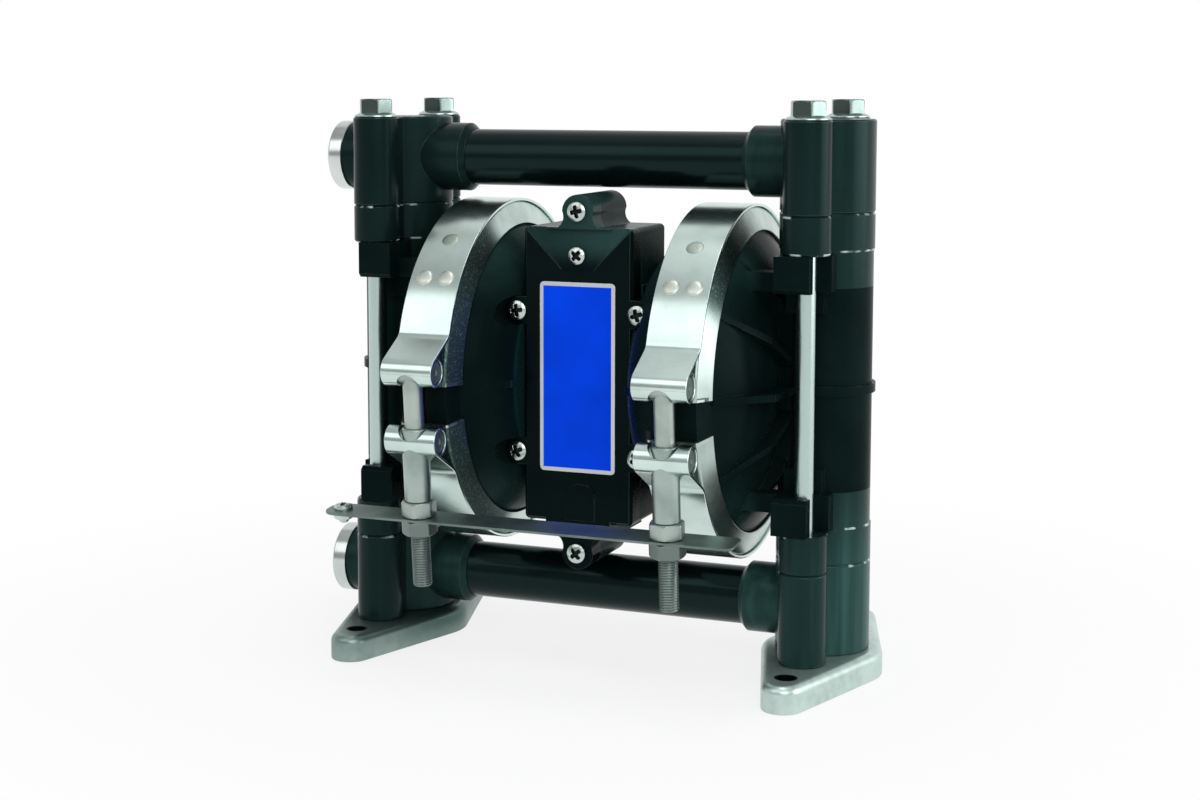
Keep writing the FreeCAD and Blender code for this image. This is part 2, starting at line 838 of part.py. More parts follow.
def pilot_bushes():
    """Bearing bushes of the pilot rod."""
    bush = tube(pilot_radius + pilot_bush_wall, pilot_radius + slide_gap,
                at(centre_half_width - pilot_bush_length, 0, -pilot_drop), RIGHT, pilot_bush_length)
    return bush, left_of(bush)


def shaft_seals():
    """Lip seals of the shaft in the air covers."""
    seal = tube(shaft_radius + shaft_seal_wall, shaft_radius + slide_gap,
                at(centre_half_width, 0, 0), RIGHT, shaft_seal_length)
    return seal, left_of(seal)


def lobe_outline(y):
    """Top lobe of the valve cover with its sloping neck, in a plane across the depth."""
    side = lobe_neck_half_width
    waist = lobe_radius + lobe_waist_spread
    base = cover_top - lobe_neck_height
    return outline(
        at(-side, y, base),
        (at(-side, y, cover_top),),
        (at(-waist, y, cover_top + lobe_shoulder), at(-lobe_radius, y, lobe_height)),
        (at(0, y, lobe_height + lobe_radius), at(lobe_radius, y, lobe_height)),
        (at(waist, y, cover_top + lobe_shoulder), at(side, y, cover_top)),
        (at(side, y, base),))


def valve_outline_solid(front_y, back_y, with_ears):
    """Plan shape of the valve cover, drawn through a depth: plate, two lobes and side ears."""
    depth = back_y - front_y
    half = cover_half_width
    plate_block = block((-half, half), (front_y, back_y), (-cover_bottom, cover_top))
    corners = [e for e in plate_block.Edges if e.BoundBox.YLength > depth - 1e-4]
    plate_block = plate_block.makeFillet(cover_corner_radius, corners)
    lobe = Part.Face(lobe_outline(front_y)).extrude(V(0, depth, 0))
    low_lobe = below(lobe)
    bridge_low = block((-lobe_neck_half_width, lobe_neck_half_width), (front_y, back_y),
                       (-cover_top, -cover_bottom + lobe_neck_height))
    pieces = [lobe, low_lobe, bridge_low]
    if with_ears:
        for side in (-1, 1):
            for up in (-1, 1):
                pieces.append(rod(ear_radius, at(side * ear_x, front_y, up * ear_height), BACK, depth))
                inner = side * (cover_half_width - 2)
                arm = (min(inner, side * ear_x), max(inner, side * ear_x))
                pieces.append(block(arm, (front_y, back_y),
                                    (up * ear_height - ear_radius, up * ear_height + ear_radius)))
    return plate_block.multiFuse(pieces).removeSplitter()


def cover_screw_places():
    """X and height of the six screws of the valve cover."""
    places = [(0, lobe_height), (0, -lobe_height)]
    for side in (-1, 1):
        for up in (-1, 1):
            places.append((side * ear_x, up * ear_height))
    return places


def cover_front_y():
    """Front face of the valve cover."""
    return centre_front_y - gasket_thickness - cover_depth


def flat_solid(points, faces):
    """Solid with flat faces: each face lists the numbers of its corner points."""
    sheets = []
    for face in faces:
        corners = [points[number] for number in face]
        sheets.append(Part.Face(Part.makePolygon(corners + corners[:1])))
    return Part.Solid(Part.Shell(sheets))


def cover_facet():
    """What is cut from the top of the valve cover's face: a slope, narrower below, with sloping sides."""
    front = cover_front_y()
    low = cover_top - cover_slope_height
    deep = front + cover_slope_depth
    inner = cover_half_width - facet_side_step
    points = [
        at(-facet_low_half, front, low), at(facet_low_half, front, low),
        at(inner, deep, cover_top), at(-inner, deep, cover_top),
        at(cover_half_width, front, cover_top), at(-cover_half_width, front, cover_top)]
    wedge = flat_solid(points, ((0, 1, 2, 3), (0, 3, 5), (1, 4, 2), (0, 5, 4, 1), (5, 3, 2, 4)))
    side = lobe_neck_half_width
    around_lobe = block((-side, side), (front, front + cover_depth), (cover_top - edge_break, lobe_height))
    return wedge.cut(around_lobe)


def valve_cover():
    """Front cover of the air valve: sloping top, raised pad, pocket for the carriage."""
    front = cover_front_y()
    back = front + cover_depth
    cover = valve_outline_solid(front, back, True).cut(cover_facet())
    rims = [e for e in edges_at_y(cover, front)
            if e.BoundBox.ZLength > cover_long_edge and e.BoundBox.XLength < 1e-4]
    cover = cover.makeChamfer(cover_edge, rims)
    pad = block((pad_left, pad_right), (front - pad_thickness, front), (pad_bottom, pad_top))
    top_corners = [e for e in pad.Edges
                   if e.BoundBox.YLength > pad_thickness - 1e-4 and e.BoundBox.ZMin > mid_z + pad_bottom + 1]
    pad = pad.makeFillet(pad_corner_radius, top_corners)
    cover = cover.fuse(pad)
    half = valve_pocket_half_width
    tall = valve_pocket_half_height
    cover = cover.cut(block((-half, half), (back - cover_pocket_depth, back), (-tall, tall)))
    for x, height in cover_screw_places():
        cover = cover.cut(rod(cover_screw_radius + fit_gap, at(x, front, height), BACK, cover_depth))
    earth = rod(cover_screw_radius + slide_gap, at(0, front, earth_screw_height), BACK, cover_depth)
    return cover.cut(earth).removeSplitter()


def valve_gasket():
    """Flat gasket behind the valve cover."""
    front = centre_front_y - gasket_thickness
    sheet = valve_outline_solid(front, centre_front_y, False)
    half = valve_pocket_half_width
    tall = valve_pocket_half_height
    sheet = sheet.cut(block((-half, half), (front, centre_front_y), (-tall, tall)))
    for x, height in cover_screw_places()[:2]:
        sheet = sheet.cut(rod(cover_screw_radius + fit_gap, at(x, front, height), BACK, gasket_thickness))
    return sheet


def ear_washers():
    """Spacing of the side ears on their bosses, as thick as the gasket."""
    pads = []
    for x, height in cover_screw_places()[2:]:
        start = at(x, centre_front_y - gasket_thickness, height)
        pads.append(tube(ear_boss_radius, cover_screw_radius + fit_gap, start, BACK, gasket_thickness))
    return pads


def label_plate():
    """Thin plate on the face of the valve cover."""
    front = cover_front_y()
    sheet = block((-label_half_width, label_half_width), (front - label_thickness, front),
                  (label_bottom, label_top))
    corners = [e for e in sheet.Edges if e.BoundBox.YLength > label_thickness - 1e-4]
    return sheet.makeFillet(label_corner_radius, corners)


def pan_head(radius, height, x, y, level):
    """Domed screw head in front of a plane across the depth."""
    head = rod(radius, at(x, y - height, level), BACK, height)
    return head.makeFillet(height * pan_edge_share, edges_at_y(head, y - height))


def cover_screws():
    """Screws of the valve cover; those in the lobes and ears are alike."""
    front = cover_front_y()
    screws = []
    for x, height in cover_screw_places():
        shank = rod(cover_screw_radius, at(x, front, height), BACK, cover_screw_length)
        head = pan_head(cover_screw_head_radius, cover_screw_head_height, x, front, height)
        screws.append(head.fuse(shank))
    return screws


def earth_screw():
    """Small screw above the label plate, on the sloping face."""
    front = cover_front_y()
    above_slope_start = earth_screw_height - earth_screw_head_radius - (cover_top - cover_slope_height)
    seat = front + max(above_slope_start, 0) * cover_slope_depth / cover_slope_height
    shank = rod(cover_screw_radius, at(0, seat, earth_screw_height), BACK, cover_depth / 2)
    head = pan_head(earth_screw_head_radius, cover_screw_head_height, 0, seat, earth_screw_height)
    return head.fuse(shank)


def centre_housing():
    """Housing between the air covers: shaft and pilot bores, valve pocket, rear ports."""
    half = centre_half_width
    front = centre_front_y
    core = block((-half, half), (front, centre_back_y), (-centre_half_height, centre_half_height))
    uprights = [e for e in core.Edges if e.BoundBox.XLength > 2 * half - 1e-4 and e.BoundBox.YMin > 0]
    core = core.makeFillet(centre_corner_radius, uprights)
    tower = valve_outline_solid(front, valve_block_back_y, False)
    inlet = rod(inlet_boss_radius, at(0, centre_back_y - 1, inlet_height), BACK, rear_boss_length + 1)
    exhaust = rod(exhaust_boss_radius, at(0, centre_back_y - 1, -inlet_height), BACK, rear_boss_length + 1)
    body = core.multiFuse([tower, inlet, exhaust])
    pocket = block((-valve_pocket_half_width, valve_pocket_half_width), (front, front + valve_pocket_depth),
                   (-valve_pocket_half_height, valve_pocket_half_height))
    body = body.cut(pocket)
    rear = centre_back_y + rear_boss_length
    body = body.cut(rod(inlet_thread_radius, at(0, rear - inlet_thread_length, inlet_height), BACK,
                        inlet_thread_length))
    body = body.cut(rod(exhaust_thread_radius, at(0, rear - exhaust_thread_length, -inlet_height), BACK,
                        exhaust_thread_length))
    bores = [
        (shaft_radius + body_gap, 0, 2 * half),
        (pilot_radius + body_gap, -pilot_drop, 2 * half)]
    for radius, height, length in bores:
        body = body.cut(rod(radius, at(-half, 0, height), RIGHT, length))
    for side in (-1, 1):
        start_x = half - bush_length if side > 0 else -half
        body = body.cut(rod(shaft_radius + bush_wall + slide_gap, at(start_x, 0, 0), RIGHT, bush_length))
        start_x = half - pilot_bush_length if side > 0 else -half
        body = body.cut(rod(pilot_radius + pilot_bush_wall + slide_gap, at(start_x, 0, -pilot_drop), RIGHT,
                            pilot_bush_length))
    for boss in ear_bosses(ear_boss_radius + fit_gap):
        body = body.cut(boss).cut(left_of(boss))
    for x, height in cover_screw_places()[:2]:
        body = body.cut(rod(cover_screw_radius + slide_gap, at(x, front, height), BACK, cover_hole_depth))
    return body.removeSplitter()


def muffler():
    """Exhaust silencer screwed into the lower rear port."""
    rear = centre_back_y + rear_boss_length
    stem_start = at(0, rear - exhaust_thread_length + 1, -inlet_height)
    stem = rod(exhaust_thread_radius - slide_gap, stem_start, BACK,
               exhaust_thread_length - 1)
    can = rod(muffler_radius, at(0, rear, -inlet_height), BACK, muffler_length)
    can = can.makeFillet(muffler_edge, edges_at_y(can, rear + muffler_length))
    start = at(0, rear - exhaust_thread_length, -inlet_height)
    room = rod(exhaust_thread_radius - muffler_wall, start, BACK,
               exhaust_thread_length + muffler_length - muffler_end_wall)
    return stem.fuse(can).cut(room)


def valve_floor_y():
    """Bottom of the valve pocket in the centre housing."""
    return centre_front_y + valve_pocket_depth


def valve_plate():
    """Ported plate that the valve block slides on."""
    back = valve_floor_y()
    sheet = block((-valve_plate_half_width, valve_plate_half_width), (back - valve_plate_thickness, back),
                  (-valve_plate_half_height, valve_plate_half_height))
    for step in (-1, 0, 1):
        start = at(0, back - valve_plate_thickness, step * valve_port_pitch)
        sheet = sheet.cut(rod(valve_port_radius, start, BACK, valve_plate_thickness))
    return sheet


def valve_block():
    """Sliding cup that joins one side port to the exhaust port."""
    back = valve_floor_y() - valve_plate_thickness - slide_gap
    cup = block((-valve_block_half_width, valve_block_half_width), (back - valve_block_thickness, back),
                (-valve_block_half_height, valve_block_half_height))
    room = block((-valve_port_radius, valve_port_radius), (back - valve_block_thickness / 2, back),
                 (-valve_port_pitch + valve_port_radius, valve_port_pitch - valve_port_radius))
    return cup.cut(room)


def carriage_back_y():
    """Rear face of the valve carriage, on the valve block."""
    return valve_floor_y() - valve_plate_thickness - slide_gap - valve_block_thickness


def carriage_centre_y():
    """Depth of the line on which the carriage and its pistons move."""
    return carriage_back_y() - carriage_depth / 2


def valve_carriage():
    """Frame that carries the valve block between the two actuator pistons."""
    back = carriage_back_y()
    frame = block((-carriage_half_width, carriage_half_width), (back - carriage_depth, back),
                  (-carriage_half_height, carriage_half_height))
    waist = carriage_half_width - carriage_rail
    for up in (-1, 1):
        low = valve_block_half_height + carriage_rail
        window = (up * low, up * (carriage_half_height - carriage_end_wall))
        frame = frame.cut(block((-waist, waist), (back - carriage_depth, back), (min(window), max(window))))
    return frame


def actuator_pistons():
    """Pistons that push the carriage from its two ends."""
    piston = rod(piston_radius, at(0, carriage_centre_y(), carriage_half_height), UP, piston_length)
    return piston, below(piston)


def actuator_bearings():
    """Bearing blocks of the pistons at the two ends of the valve pocket."""
    top = valve_pocket_half_height
    low = top - bearing_length
    side = valve_pocket_half_width - fit_gap
    depth = (carriage_centre_y() - piston_radius - bearing_wall, valve_floor_y())
    body = block((-side, side), depth, (low, top))
    bore = rod(piston_radius + slide_gap, at(0, carriage_centre_y(), low), UP, bearing_length)
    bearing = body.cut(bore)
    return bearing, below(bearing)


def clamp_frame(shape):
    """Turn a clamp piece from its own frame to its place about the shaft axis."""
    shape.rotate(SHAFT_ORIGIN, RIGHT, clamp_turn)
    return shape


def strap_wing(up):
    """Flared end of the strap with its closed loop, before the notch is cut."""
    middle_radius = strap_radius - strap_thickness / 2
    leave = math.asin(strap_leave_height / middle_radius)
    start_y = -middle_radius * math.cos(leave)
    start_h = strap_leave_height
    loop_height = loop_top_height if up else loop_low_height
    to_y = bolt_centre_y - start_y
    to_h = loop_height - start_h
    distance = math.hypot(to_y, to_h)
    loop_middle = loop_radius - strap_thickness / 2
    lean = math.asin(loop_middle / distance)
    heading = math.atan2(to_h, to_y) - lean
    reach = math.sqrt(distance ** 2 - loop_middle ** 2)
    half = strap_thickness / 2
    nudge_y = -math.sin(heading) * half
    nudge_h = math.cos(heading) * half
    end_y = start_y + reach * math.cos(heading)
    end_h = start_h + reach * math.sin(heading)
    x0 = clamp_x - strap_width / 2
    corners = [
        at(x0, start_y + nudge_y, start_h + nudge_h),
        at(x0, end_y + nudge_y, end_h + nudge_h),
        at(x0, end_y - nudge_y, end_h - nudge_h),
        at(x0, start_y - nudge_y, start_h - nudge_h),
        at(x0, start_y + nudge_y, start_h + nudge_h)]
    flare = Part.Face(Part.makePolygon(corners)).extrude(V(strap_width, 0, 0))
    hub = at(x0, bolt_centre_y, loop_height)
    loop = tube(loop_radius, loop_radius - strap_thickness, hub, RIGHT, strap_width)
    room = rod(loop_radius - strap_thickness, hub, RIGHT, strap_width)
    bend = rod(strap_thickness / 2, at(x0, start_y, start_h), RIGHT, strap_width)
    wing = fused(flare.cut(room), loop, bend)
    return wing if up else below(wing)


def clamp_strap():
    """Right strap: a band round the retainers with two loops for the T-bolt."""
    x0 = clamp_x - strap_width / 2
    band = tube(strap_radius, strap_radius - strap_thickness, at(x0, 0, 0), RIGHT, strap_width)
    middle_radius = strap_radius - strap_thickness / 2
    leave = math.asin(strap_leave_height / middle_radius)
    far = strap_radius + strap_leave_height
    mouth = Part.makePolygon([
        at(x0, 0, 0),
        at(x0, -far * math.cos(leave), far * math.sin(leave)),
        at(x0, -far * math.cos(leave), -far * math.sin(leave)),
        at(x0, 0, 0)])
    band = band.cut(Part.Face(mouth).extrude(V(strap_width, 0, 0)))
    strap = band.multiFuse([strap_wing(True), strap_wing(False)])
    reach = (bolt_centre_y - loop_radius - 1, bolt_centre_y + loop_radius + 3)
    half_top = loop_notch_top / 2
    half_low = loop_notch_bottom / 2
    tall = loop_radius + 2
    notch = block((clamp_x - half_top, clamp_x + half_top), reach,
                  (loop_top_height - tall, loop_top_height + loop_radius / 2))
    low_notch = block((clamp_x - half_low, clamp_x + half_low), reach,
                      (-loop_low_height - loop_notch_reach, -loop_low_height + tall))
    return clamp_frame(strap.cut(notch).cut(low_notch).removeSplitter())


def retainer(upper):
    """Half ring of wedge section that pulls the flanges together."""
    outer = strap_radius - strap_thickness - slide_gap
    inner = outer - retainer_web
    leg = retainer_leg_radius

    def flank(radius):
        return flange_half_width(radius) + fit_gap

    points = [
        (-flank(outer) - retainer_wall, outer),
        (flank(outer) + retainer_wall, outer),
        (flank(leg) + retainer_wall, leg),
        (flank(leg), leg),
        (flank(inner), inner),
        (-flank(inner), inner),
        (-flank(leg), leg),
        (-flank(leg) - retainer_wall, leg)]
    corners = [V(clamp_x + x, -radius, mid_z) for x, radius in points]
    face = Part.Face(Part.makePolygon(corners + corners[:1]))
    front = math.degrees(math.asin(retainer_gap_half_height / strap_radius))
    back = math.degrees(math.asin(retainer_rear_gap_half_height / strap_radius))
    face.rotate(SHAFT_ORIGIN, RIGHT, front)
    half_ring = face.revolve(SHAFT_ORIGIN, RIGHT, 180 - front - back)
    return clamp_frame(below(half_ring) if upper else half_ring)


def t_bolt():
    """Right T-bolt: a cross pin in the upper loop and a rod down through the trunnion."""
    pin_radius = loop_radius - strap_thickness - slide_gap
    pin_start = at(clamp_x - t_pin_length / 2, bolt_centre_y, loop_top_height)
    pin = rod(pin_radius, pin_start, RIGHT, t_pin_length)
    shank = rod(t_bolt_radius, at(clamp_x, bolt_centre_y, t_bolt_end), UP, loop_top_height - t_bolt_end)
    shank = shank.makeChamfer(t_bolt_thread_break, edges_at_height(shank, t_bolt_end))
    return clamp_frame(pin.fuse(shank).removeSplitter())


def trunnion():
    """Right trunnion: a cross pin in the lower loop with a sleeve down the T-bolt."""
    pin_radius = loop_radius - strap_thickness - slide_gap
    pin_start = at(clamp_x - t_pin_length / 2, bolt_centre_y, -loop_low_height)
    pin = rod(pin_radius, pin_start, RIGHT, t_pin_length)
    top = -loop_low_height + pin_radius
    sleeve = rod(trunnion_sleeve_radius, at(clamp_x, bolt_centre_y, trunnion_sleeve_end), UP,
                 top - trunnion_sleeve_end)
    bore = rod(t_bolt_radius + slide_gap, at(clamp_x, bolt_centre_y, trunnion_sleeve_end), UP,
               top - trunnion_sleeve_end)
    return clamp_frame(pin.fuse(sleeve).cut(bore).removeSplitter())


def strip_top():
    """Height of the earthing strip's upper face in the clamp frame."""
    return trunnion_sleeve_end - jam_nut_height


def clamp_nuts():
    """Nuts above and below the earthing strip on the right T-bolt."""
    nuts = []
    low = strip_top() - strip_thickness - lock_nut_height
    for across, height, base in ((jam_nut_across, jam_nut_height, strip_top()),
                                 (lock_nut_across, lock_nut_height, low)):
        nut = hexagon(across, at(clamp_x, bolt_centre_y, base), UP, height)
        blank_radius = across / math.sqrt(3) * nut_blank_share
        round_blank = rod(blank_radius, at(clamp_x, bolt_centre_y, base), UP, height)
        rims = edges_at_height(round_blank, base) + edges_at_height(round_blank, base + height)
        nut = nut.common(round_blank.makeChamfer(edge_break, rims))
        hole = rod(t_bolt_radius + slide_gap, at(clamp_x, bolt_centre_y, base), UP, height)
        nuts.append(clamp_frame(nut.cut(hole)))
    return nuts


def earthing_strip():
    """Flat strip on both T-bolts, with a rounded left end and its screw hole."""
    top = strip_top()
    half = strip_width / 2
    depth = (bolt_centre_y - half, bolt_centre_y + half)
    bar = block((strip_left, strip_right), depth, (top - strip_thickness, top))
    corners = [e for e in bar.Edges if e.BoundBox.ZLength > strip_thickness - 1e-4]
    bar = bar.makeFillet(strip_left_round, [e for e in corners if e.BoundBox.XMax < 0])
    right_corners = [e for e in bar.Edges
                     if e.BoundBox.ZLength > strip_thickness - 1e-4 and e.BoundBox.XMin > strip_right - 1]
    bar = bar.makeFillet(strip_right_round, right_corners)
    for x in (-clamp_x, clamp_x):
        bar = bar.cut(rod(t_bolt_radius + fit_gap, at(x, bolt_centre_y, top - strip_thickness), UP,
                          strip_thickness))
    hole = rod(strip_screw_radius + fit_gap, at(strip_left + strip_screw_inset, bolt_centre_y,
                                                top - strip_thickness), UP, strip_thickness)
    return clamp_frame(bar.cut(hole))


def strip_screw():
    """Earthing screw at the left end of the strip, with its nut below."""
    top = strip_top()
    x = strip_left + strip_screw_inset
    head = rod(strip_screw_head_radius, at(x, bolt_centre_y, top), UP, strip_screw_head_height)
    rim = edges_at_height(head, top + strip_screw_head_height)
    head = head.makeFillet(strip_screw_head_height * pan_edge_share, rim)
    length = strip_thickness + strip_nut_height + strip_screw_tail
    shank = rod(strip_screw_radius, at(x, bolt_centre_y, top - length), UP, length)
    low = top - strip_thickness - strip_nut_height
    nut = hexagon(strip_nut_across, at(x, bolt_centre_y, low), UP, strip_nut_height)
    nut = nut.cut(rod(strip_screw_radius + slide_gap, at(x, bolt_centre_y, low), UP, strip_nut_height))
    return clamp_frame(head.fuse(shank)), clamp_frame(nut)


def dome_on_strap(x, angle, radius, height):
    """Low spherical cap on the outside of the strap, at an angle above the front."""
    ball = (radius ** 2 + height ** 2) / (2 * height)
    cap = Part.makeSphere(ball, at(x, 0, strap_radius + height - ball))
    cap = cap.common(rod(radius, at(x, 0, strap_radius - blank_overlap), UP, height + 1))
    under = rod(strap_radius, at(clamp_x - strap_width / 2, 0, 0), RIGHT, strap_width)
    cap = cap.cut(under)
    cap.rotate(SHAFT_ORIGIN, RIGHT, 90 - angle)
    return cap


def strap_rivets():
    """Pair of rivets and the single weld dimple above them, on the right strap."""
    pieces = []
    for side in (-1, 1):
        x = clamp_x + side * rivet_half_pitch
        pieces.append(dome_on_strap(x, rivet_angle, rivet_radius, rivet_height))
    pieces.append(dome_on_strap(clamp_x, weld_dimple_angle, rivet_radius, weld_dimple_height))
    return [clamp_frame(piece) for piece in pieces]


def foot():
    """Right foot: a cast plate, round in the middle, tapering straight to its rounded ends."""
    reach = foot_half_length - foot_tip_radius
    taper_sin = (foot_half_width - foot_tip_radius) / reach
    taper_cos = math.sqrt(1 - taper_sin ** 2)
    wide_x = foot_half_width * taper_cos
    wide_y = foot_half_width * taper_sin
    tip_x = foot_tip_radius * taper_cos
    tip_y = reach + foot_tip_radius * taper_sin
    wire = outline(
        V(column_x + tip_x, -tip_y, 0),
        (V(column_x + wide_x, -wide_y, 0),),
        (V(column_x + foot_half_width, 0, 0), V(column_x + wide_x, wide_y, 0)),
        (V(column_x + tip_x, tip_y, 0),),
        (V(column_x, foot_half_length, 0), V(column_x - tip_x, tip_y, 0)),
        (V(column_x - wide_x, wide_y, 0),),
        (V(column_x - foot_half_width, 0, 0), V(column_x - wide_x, -wide_y, 0)),
        (V(column_x - tip_x, -tip_y, 0),),
        (V(column_x, -foot_half_length, 0), V(column_x + tip_x, -tip_y, 0)))
    plate_solid = Part.Face(wire).extrude(V(0, 0, foot_height))
    plate_solid = plate_solid.makeFillet(foot_edge_radius, edges_at_height(plate_solid, -seat_height))
    for y in (-foot_hole_y, foot_hole_y):
        plate_solid = plate_solid.cut(rod(foot_hole_radius, V(column_x, y, 0), UP, foot_height))
    for y in (-tie_y, tie_y):
        plate_solid = plate_solid.cut(rod(tie_hole_radius, V(column_x, y, 0), UP, foot_height))
        recess = hexagon(tie_head_across + 2 * body_gap, V(column_x, y, 0), UP, tie_nut_recess)
        plate_solid = plate_solid.cut(recess)
    return plate_solid


def tie_bolt():
    """Front right tie bolt, from the nut in the foot to the flanged head on the manifold."""
    low = tie_nut_recess - tie_nut_height
    seat = mid_z + seat_height
    shank = rod(tie_radius, V(column_x, -tie_y, low), UP, seat - low)
    flange = rod(tie_flange_radius, V(column_x, -tie_y, seat), UP, tie_flange_height)
    rim = edges_at_height(flange, seat_height + tie_flange_height)
    flange = flange.makeChamfer(tie_flange_height * flange_bevel_share, rim)
    head = hexagon(tie_head_across, V(column_x, -tie_y, seat), UP, tie_flange_height + tie_head_height)
    blank_radius = tie_head_across / math.sqrt(3) * head_blank_share
    crown = rod(blank_radius, V(column_x, -tie_y, seat), UP, tie_flange_height + tie_head_height)
    crown_rim = edges_at_height(crown, seat_height + tie_flange_height + tie_head_height)
    crown = crown.makeChamfer(tie_crown_bevel, crown_rim)
    return fused(shank, flange, head.common(crown))


def tie_nut():
    """Nut in the recess under the right foot."""
    low = tie_nut_recess - tie_nut_height
    nut = hexagon(tie_head_across, V(column_x, -tie_y, low), UP, tie_nut_height)
    return nut.cut(rod(tie_radius + slide_gap, V(column_x, -tie_y, low), UP, tie_nut_height))


def four_corners(shape):
    """The same piece in the four corners of the pump."""
    behind = shape.mirror(V(0, 0, 0), BACK)
    return shape, behind, left_of(shape), left_of(behind)


def save_pair(name, shape):
    """Write the right piece and its mirrored left partner."""
    save(name + "_right", shape)
    save(name + "_left", left_of(shape))


def build_columns():
    """Feet, manifolds, tubes, check housings and the tie bolts that hold them."""
    save_pair("foot", foot())
    save("outlet_elbow", elbow())
    save("inlet_elbow", below(elbow()))
    save("outlet_tee", left_of(tee()))
    save("inlet_tee", left_of(below(tee())))
    save("port_rings", left_of(port_ring()), left_of(below(port_ring())))
    save("outlet_tube", manifold_tube())
    save("inlet_tube", below(manifold_tube()))
    save("tube_seals", *tube_seals(), *[below(ring) for ring in tube_seals()])
    save("tie_bolts", *four_corners(tie_bolt()))
    save("tie_nuts", *four_corners(tie_nut()))


def build_check_valves():
    """Check housings with seat, seal and ball, one above and one below each fluid cover."""
    seats = []
    seals = []
    for level, upper in (("outlet", True), ("inlet", False)):
        save_pair(level + "_check_housing", check_housing(upper))
        save_pair(level + "_ball", Part.makeSphere(ball_radius, at(column_x, 0, ball_rest(upper))))
        seats += [valve_seat(upper), left_of(valve_seat(upper))]
        seals += [seat_seal(upper), left_of(seat_seal(upper))]
    save("valve_seats", *seats)
    save("seat_seals", *seals)


def build_drive():
    """Covers, diaphragms, shaft and pilot rod."""
    save_pair("fluid_cover", fluid_cover())
    save_pair("air_cover", air_cover())
    save_pair("diaphragm", diaphragm())
    save("inner_plates", inner_plate(), left_of(inner_plate()))
    save("outer_plates", outer_plate(), left_of(outer_plate()))
    save("diaphragm_bolts", diaphragm_bolt(), left_of(diaphragm_bolt()))
    save("diaphragm_shaft", diaphragm_shaft())
    save("shaft_bushes", *shaft_bushes())
    save("shaft_seals", *shaft_seals())
    half = pilot_half_length()
    save("pilot_rod", rod(pilot_radius, at(-half, 0, -pilot_drop), RIGHT, 2 * half))
    save("pilot_bushes", *pilot_bushes())


def build_centre():
    """Centre housing, air valve and its cover."""
    save("centre_housing", centre_housing())
    save("valve_cover", valve_cover())
    save("valve_gasket", valve_gasket(), *ear_washers())
    save("label_plate", label_plate())
    save("cover_screws", *cover_screws())
    save("earth_screw", earth_screw())
    save("muffler", muffler())
    save("valve_plate", valve_plate())
    save("valve_block", valve_block())
    save("valve_carriage", valve_carriage())
    save("actuator_pistons", *actuator_pistons())
    save("actuator_bearings", *actuator_bearings())


def build_clamps():
    """Clamps with their T-bolts, trunnions, nuts and the earthing strip."""
    save_pair("clamp_strap", clamp_strap())
    upper = retainer(True)
    lower = retainer(False)
    save("clamp_retainers_right", upper, lower)
    save("clamp_retainers_left", left_of(upper), left_of(lower))
    save_pair("t_bolt", t_bolt())
    save("clamp_trunnions", trunnion(), left_of(trunnion()))
    nuts = clamp_nuts()
    save("clamp_nuts", *nuts, *[left_of(nut) for nut in nuts])
    rivets = strap_rivets()
    save("strap_rivets", *rivets, *[left_of(rivet) for rivet in rivets])
    save("earthing_strip", earthing_strip())
    save("strip_screw", *strip_screw())


os.makedirs("parts", exist_ok=True)
build_columns()
build_check_valves()
build_drive()
build_centre()
build_clamps()
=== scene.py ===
import logging
import math
from dataclasses import dataclass
from enum import Enum
from typing import Callable, Sequence

import bmesh
import bpy
import numpy as np
from mathutils import Matrix, Vector
from mathutils.geometry import delaunay_2d_cdt


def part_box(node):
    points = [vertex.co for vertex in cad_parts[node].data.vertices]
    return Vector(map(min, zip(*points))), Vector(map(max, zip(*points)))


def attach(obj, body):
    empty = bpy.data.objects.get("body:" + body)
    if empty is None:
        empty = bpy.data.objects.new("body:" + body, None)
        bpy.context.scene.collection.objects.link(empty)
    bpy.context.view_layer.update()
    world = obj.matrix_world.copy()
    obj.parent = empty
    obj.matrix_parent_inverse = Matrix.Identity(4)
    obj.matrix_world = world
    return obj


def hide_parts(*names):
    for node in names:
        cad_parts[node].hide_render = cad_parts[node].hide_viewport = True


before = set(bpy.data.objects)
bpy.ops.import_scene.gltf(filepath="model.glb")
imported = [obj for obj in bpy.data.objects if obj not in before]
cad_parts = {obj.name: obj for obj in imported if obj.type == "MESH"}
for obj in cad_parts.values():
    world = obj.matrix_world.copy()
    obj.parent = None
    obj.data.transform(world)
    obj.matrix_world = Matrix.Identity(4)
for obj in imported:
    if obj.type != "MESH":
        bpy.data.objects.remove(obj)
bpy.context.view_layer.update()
log = logging.getLogger("pump")

# Lengths are in millimetres and angles in degrees unless a docstring says otherwise.
MM = 0.001
MID_Z = 117.5
TUBE_HEIGHT = 89.3
CLAMP_X = 52.3
CLAMP_TURN = 5.5
COLUMN_X = 93.0
RIM_RADIUS = 68.2
WEDGE_HALF_WIDTH = 9.35
WEDGE_SLOPE = 0.4
WEDGE_GAP = 0.1
STRAP_RADIUS = 72.2
STRAP_THICKNESS = 1.2
BOLT_V = -78.6
LOOP_UP = 15.5
LOOP_DOWN = 12.5
LOOP_RADIUS = 5.9
ROD_RADIUS = 3.9
SLEEVE_END = -36.8
JAM_HEIGHT = 6.4
BORE_GAP = 0.06
SEAT_GAP = 0.05
# Grain coordinates: millimetres for each radian round a turned piece and round a clamp's half ring
TURNED_GRAIN = 20.0
RING_GRAIN = 65.0
# Metres within which points become one
MERGE_REACH = 2e-6
Array = np.ndarray
Triple = tuple[float, float, float]
FIXED = "pump_frame"


class Named(Enum):
    """Options whose names are words in the names of nodes."""

    @property
    def word(self) -> str:
        """This option's word in the names of nodes."""
        return self.name.lower()


class Side(Named):
    """The two ends of the pump, as a sign along X."""

    RIGHT = 1.0
    LEFT = -1.0


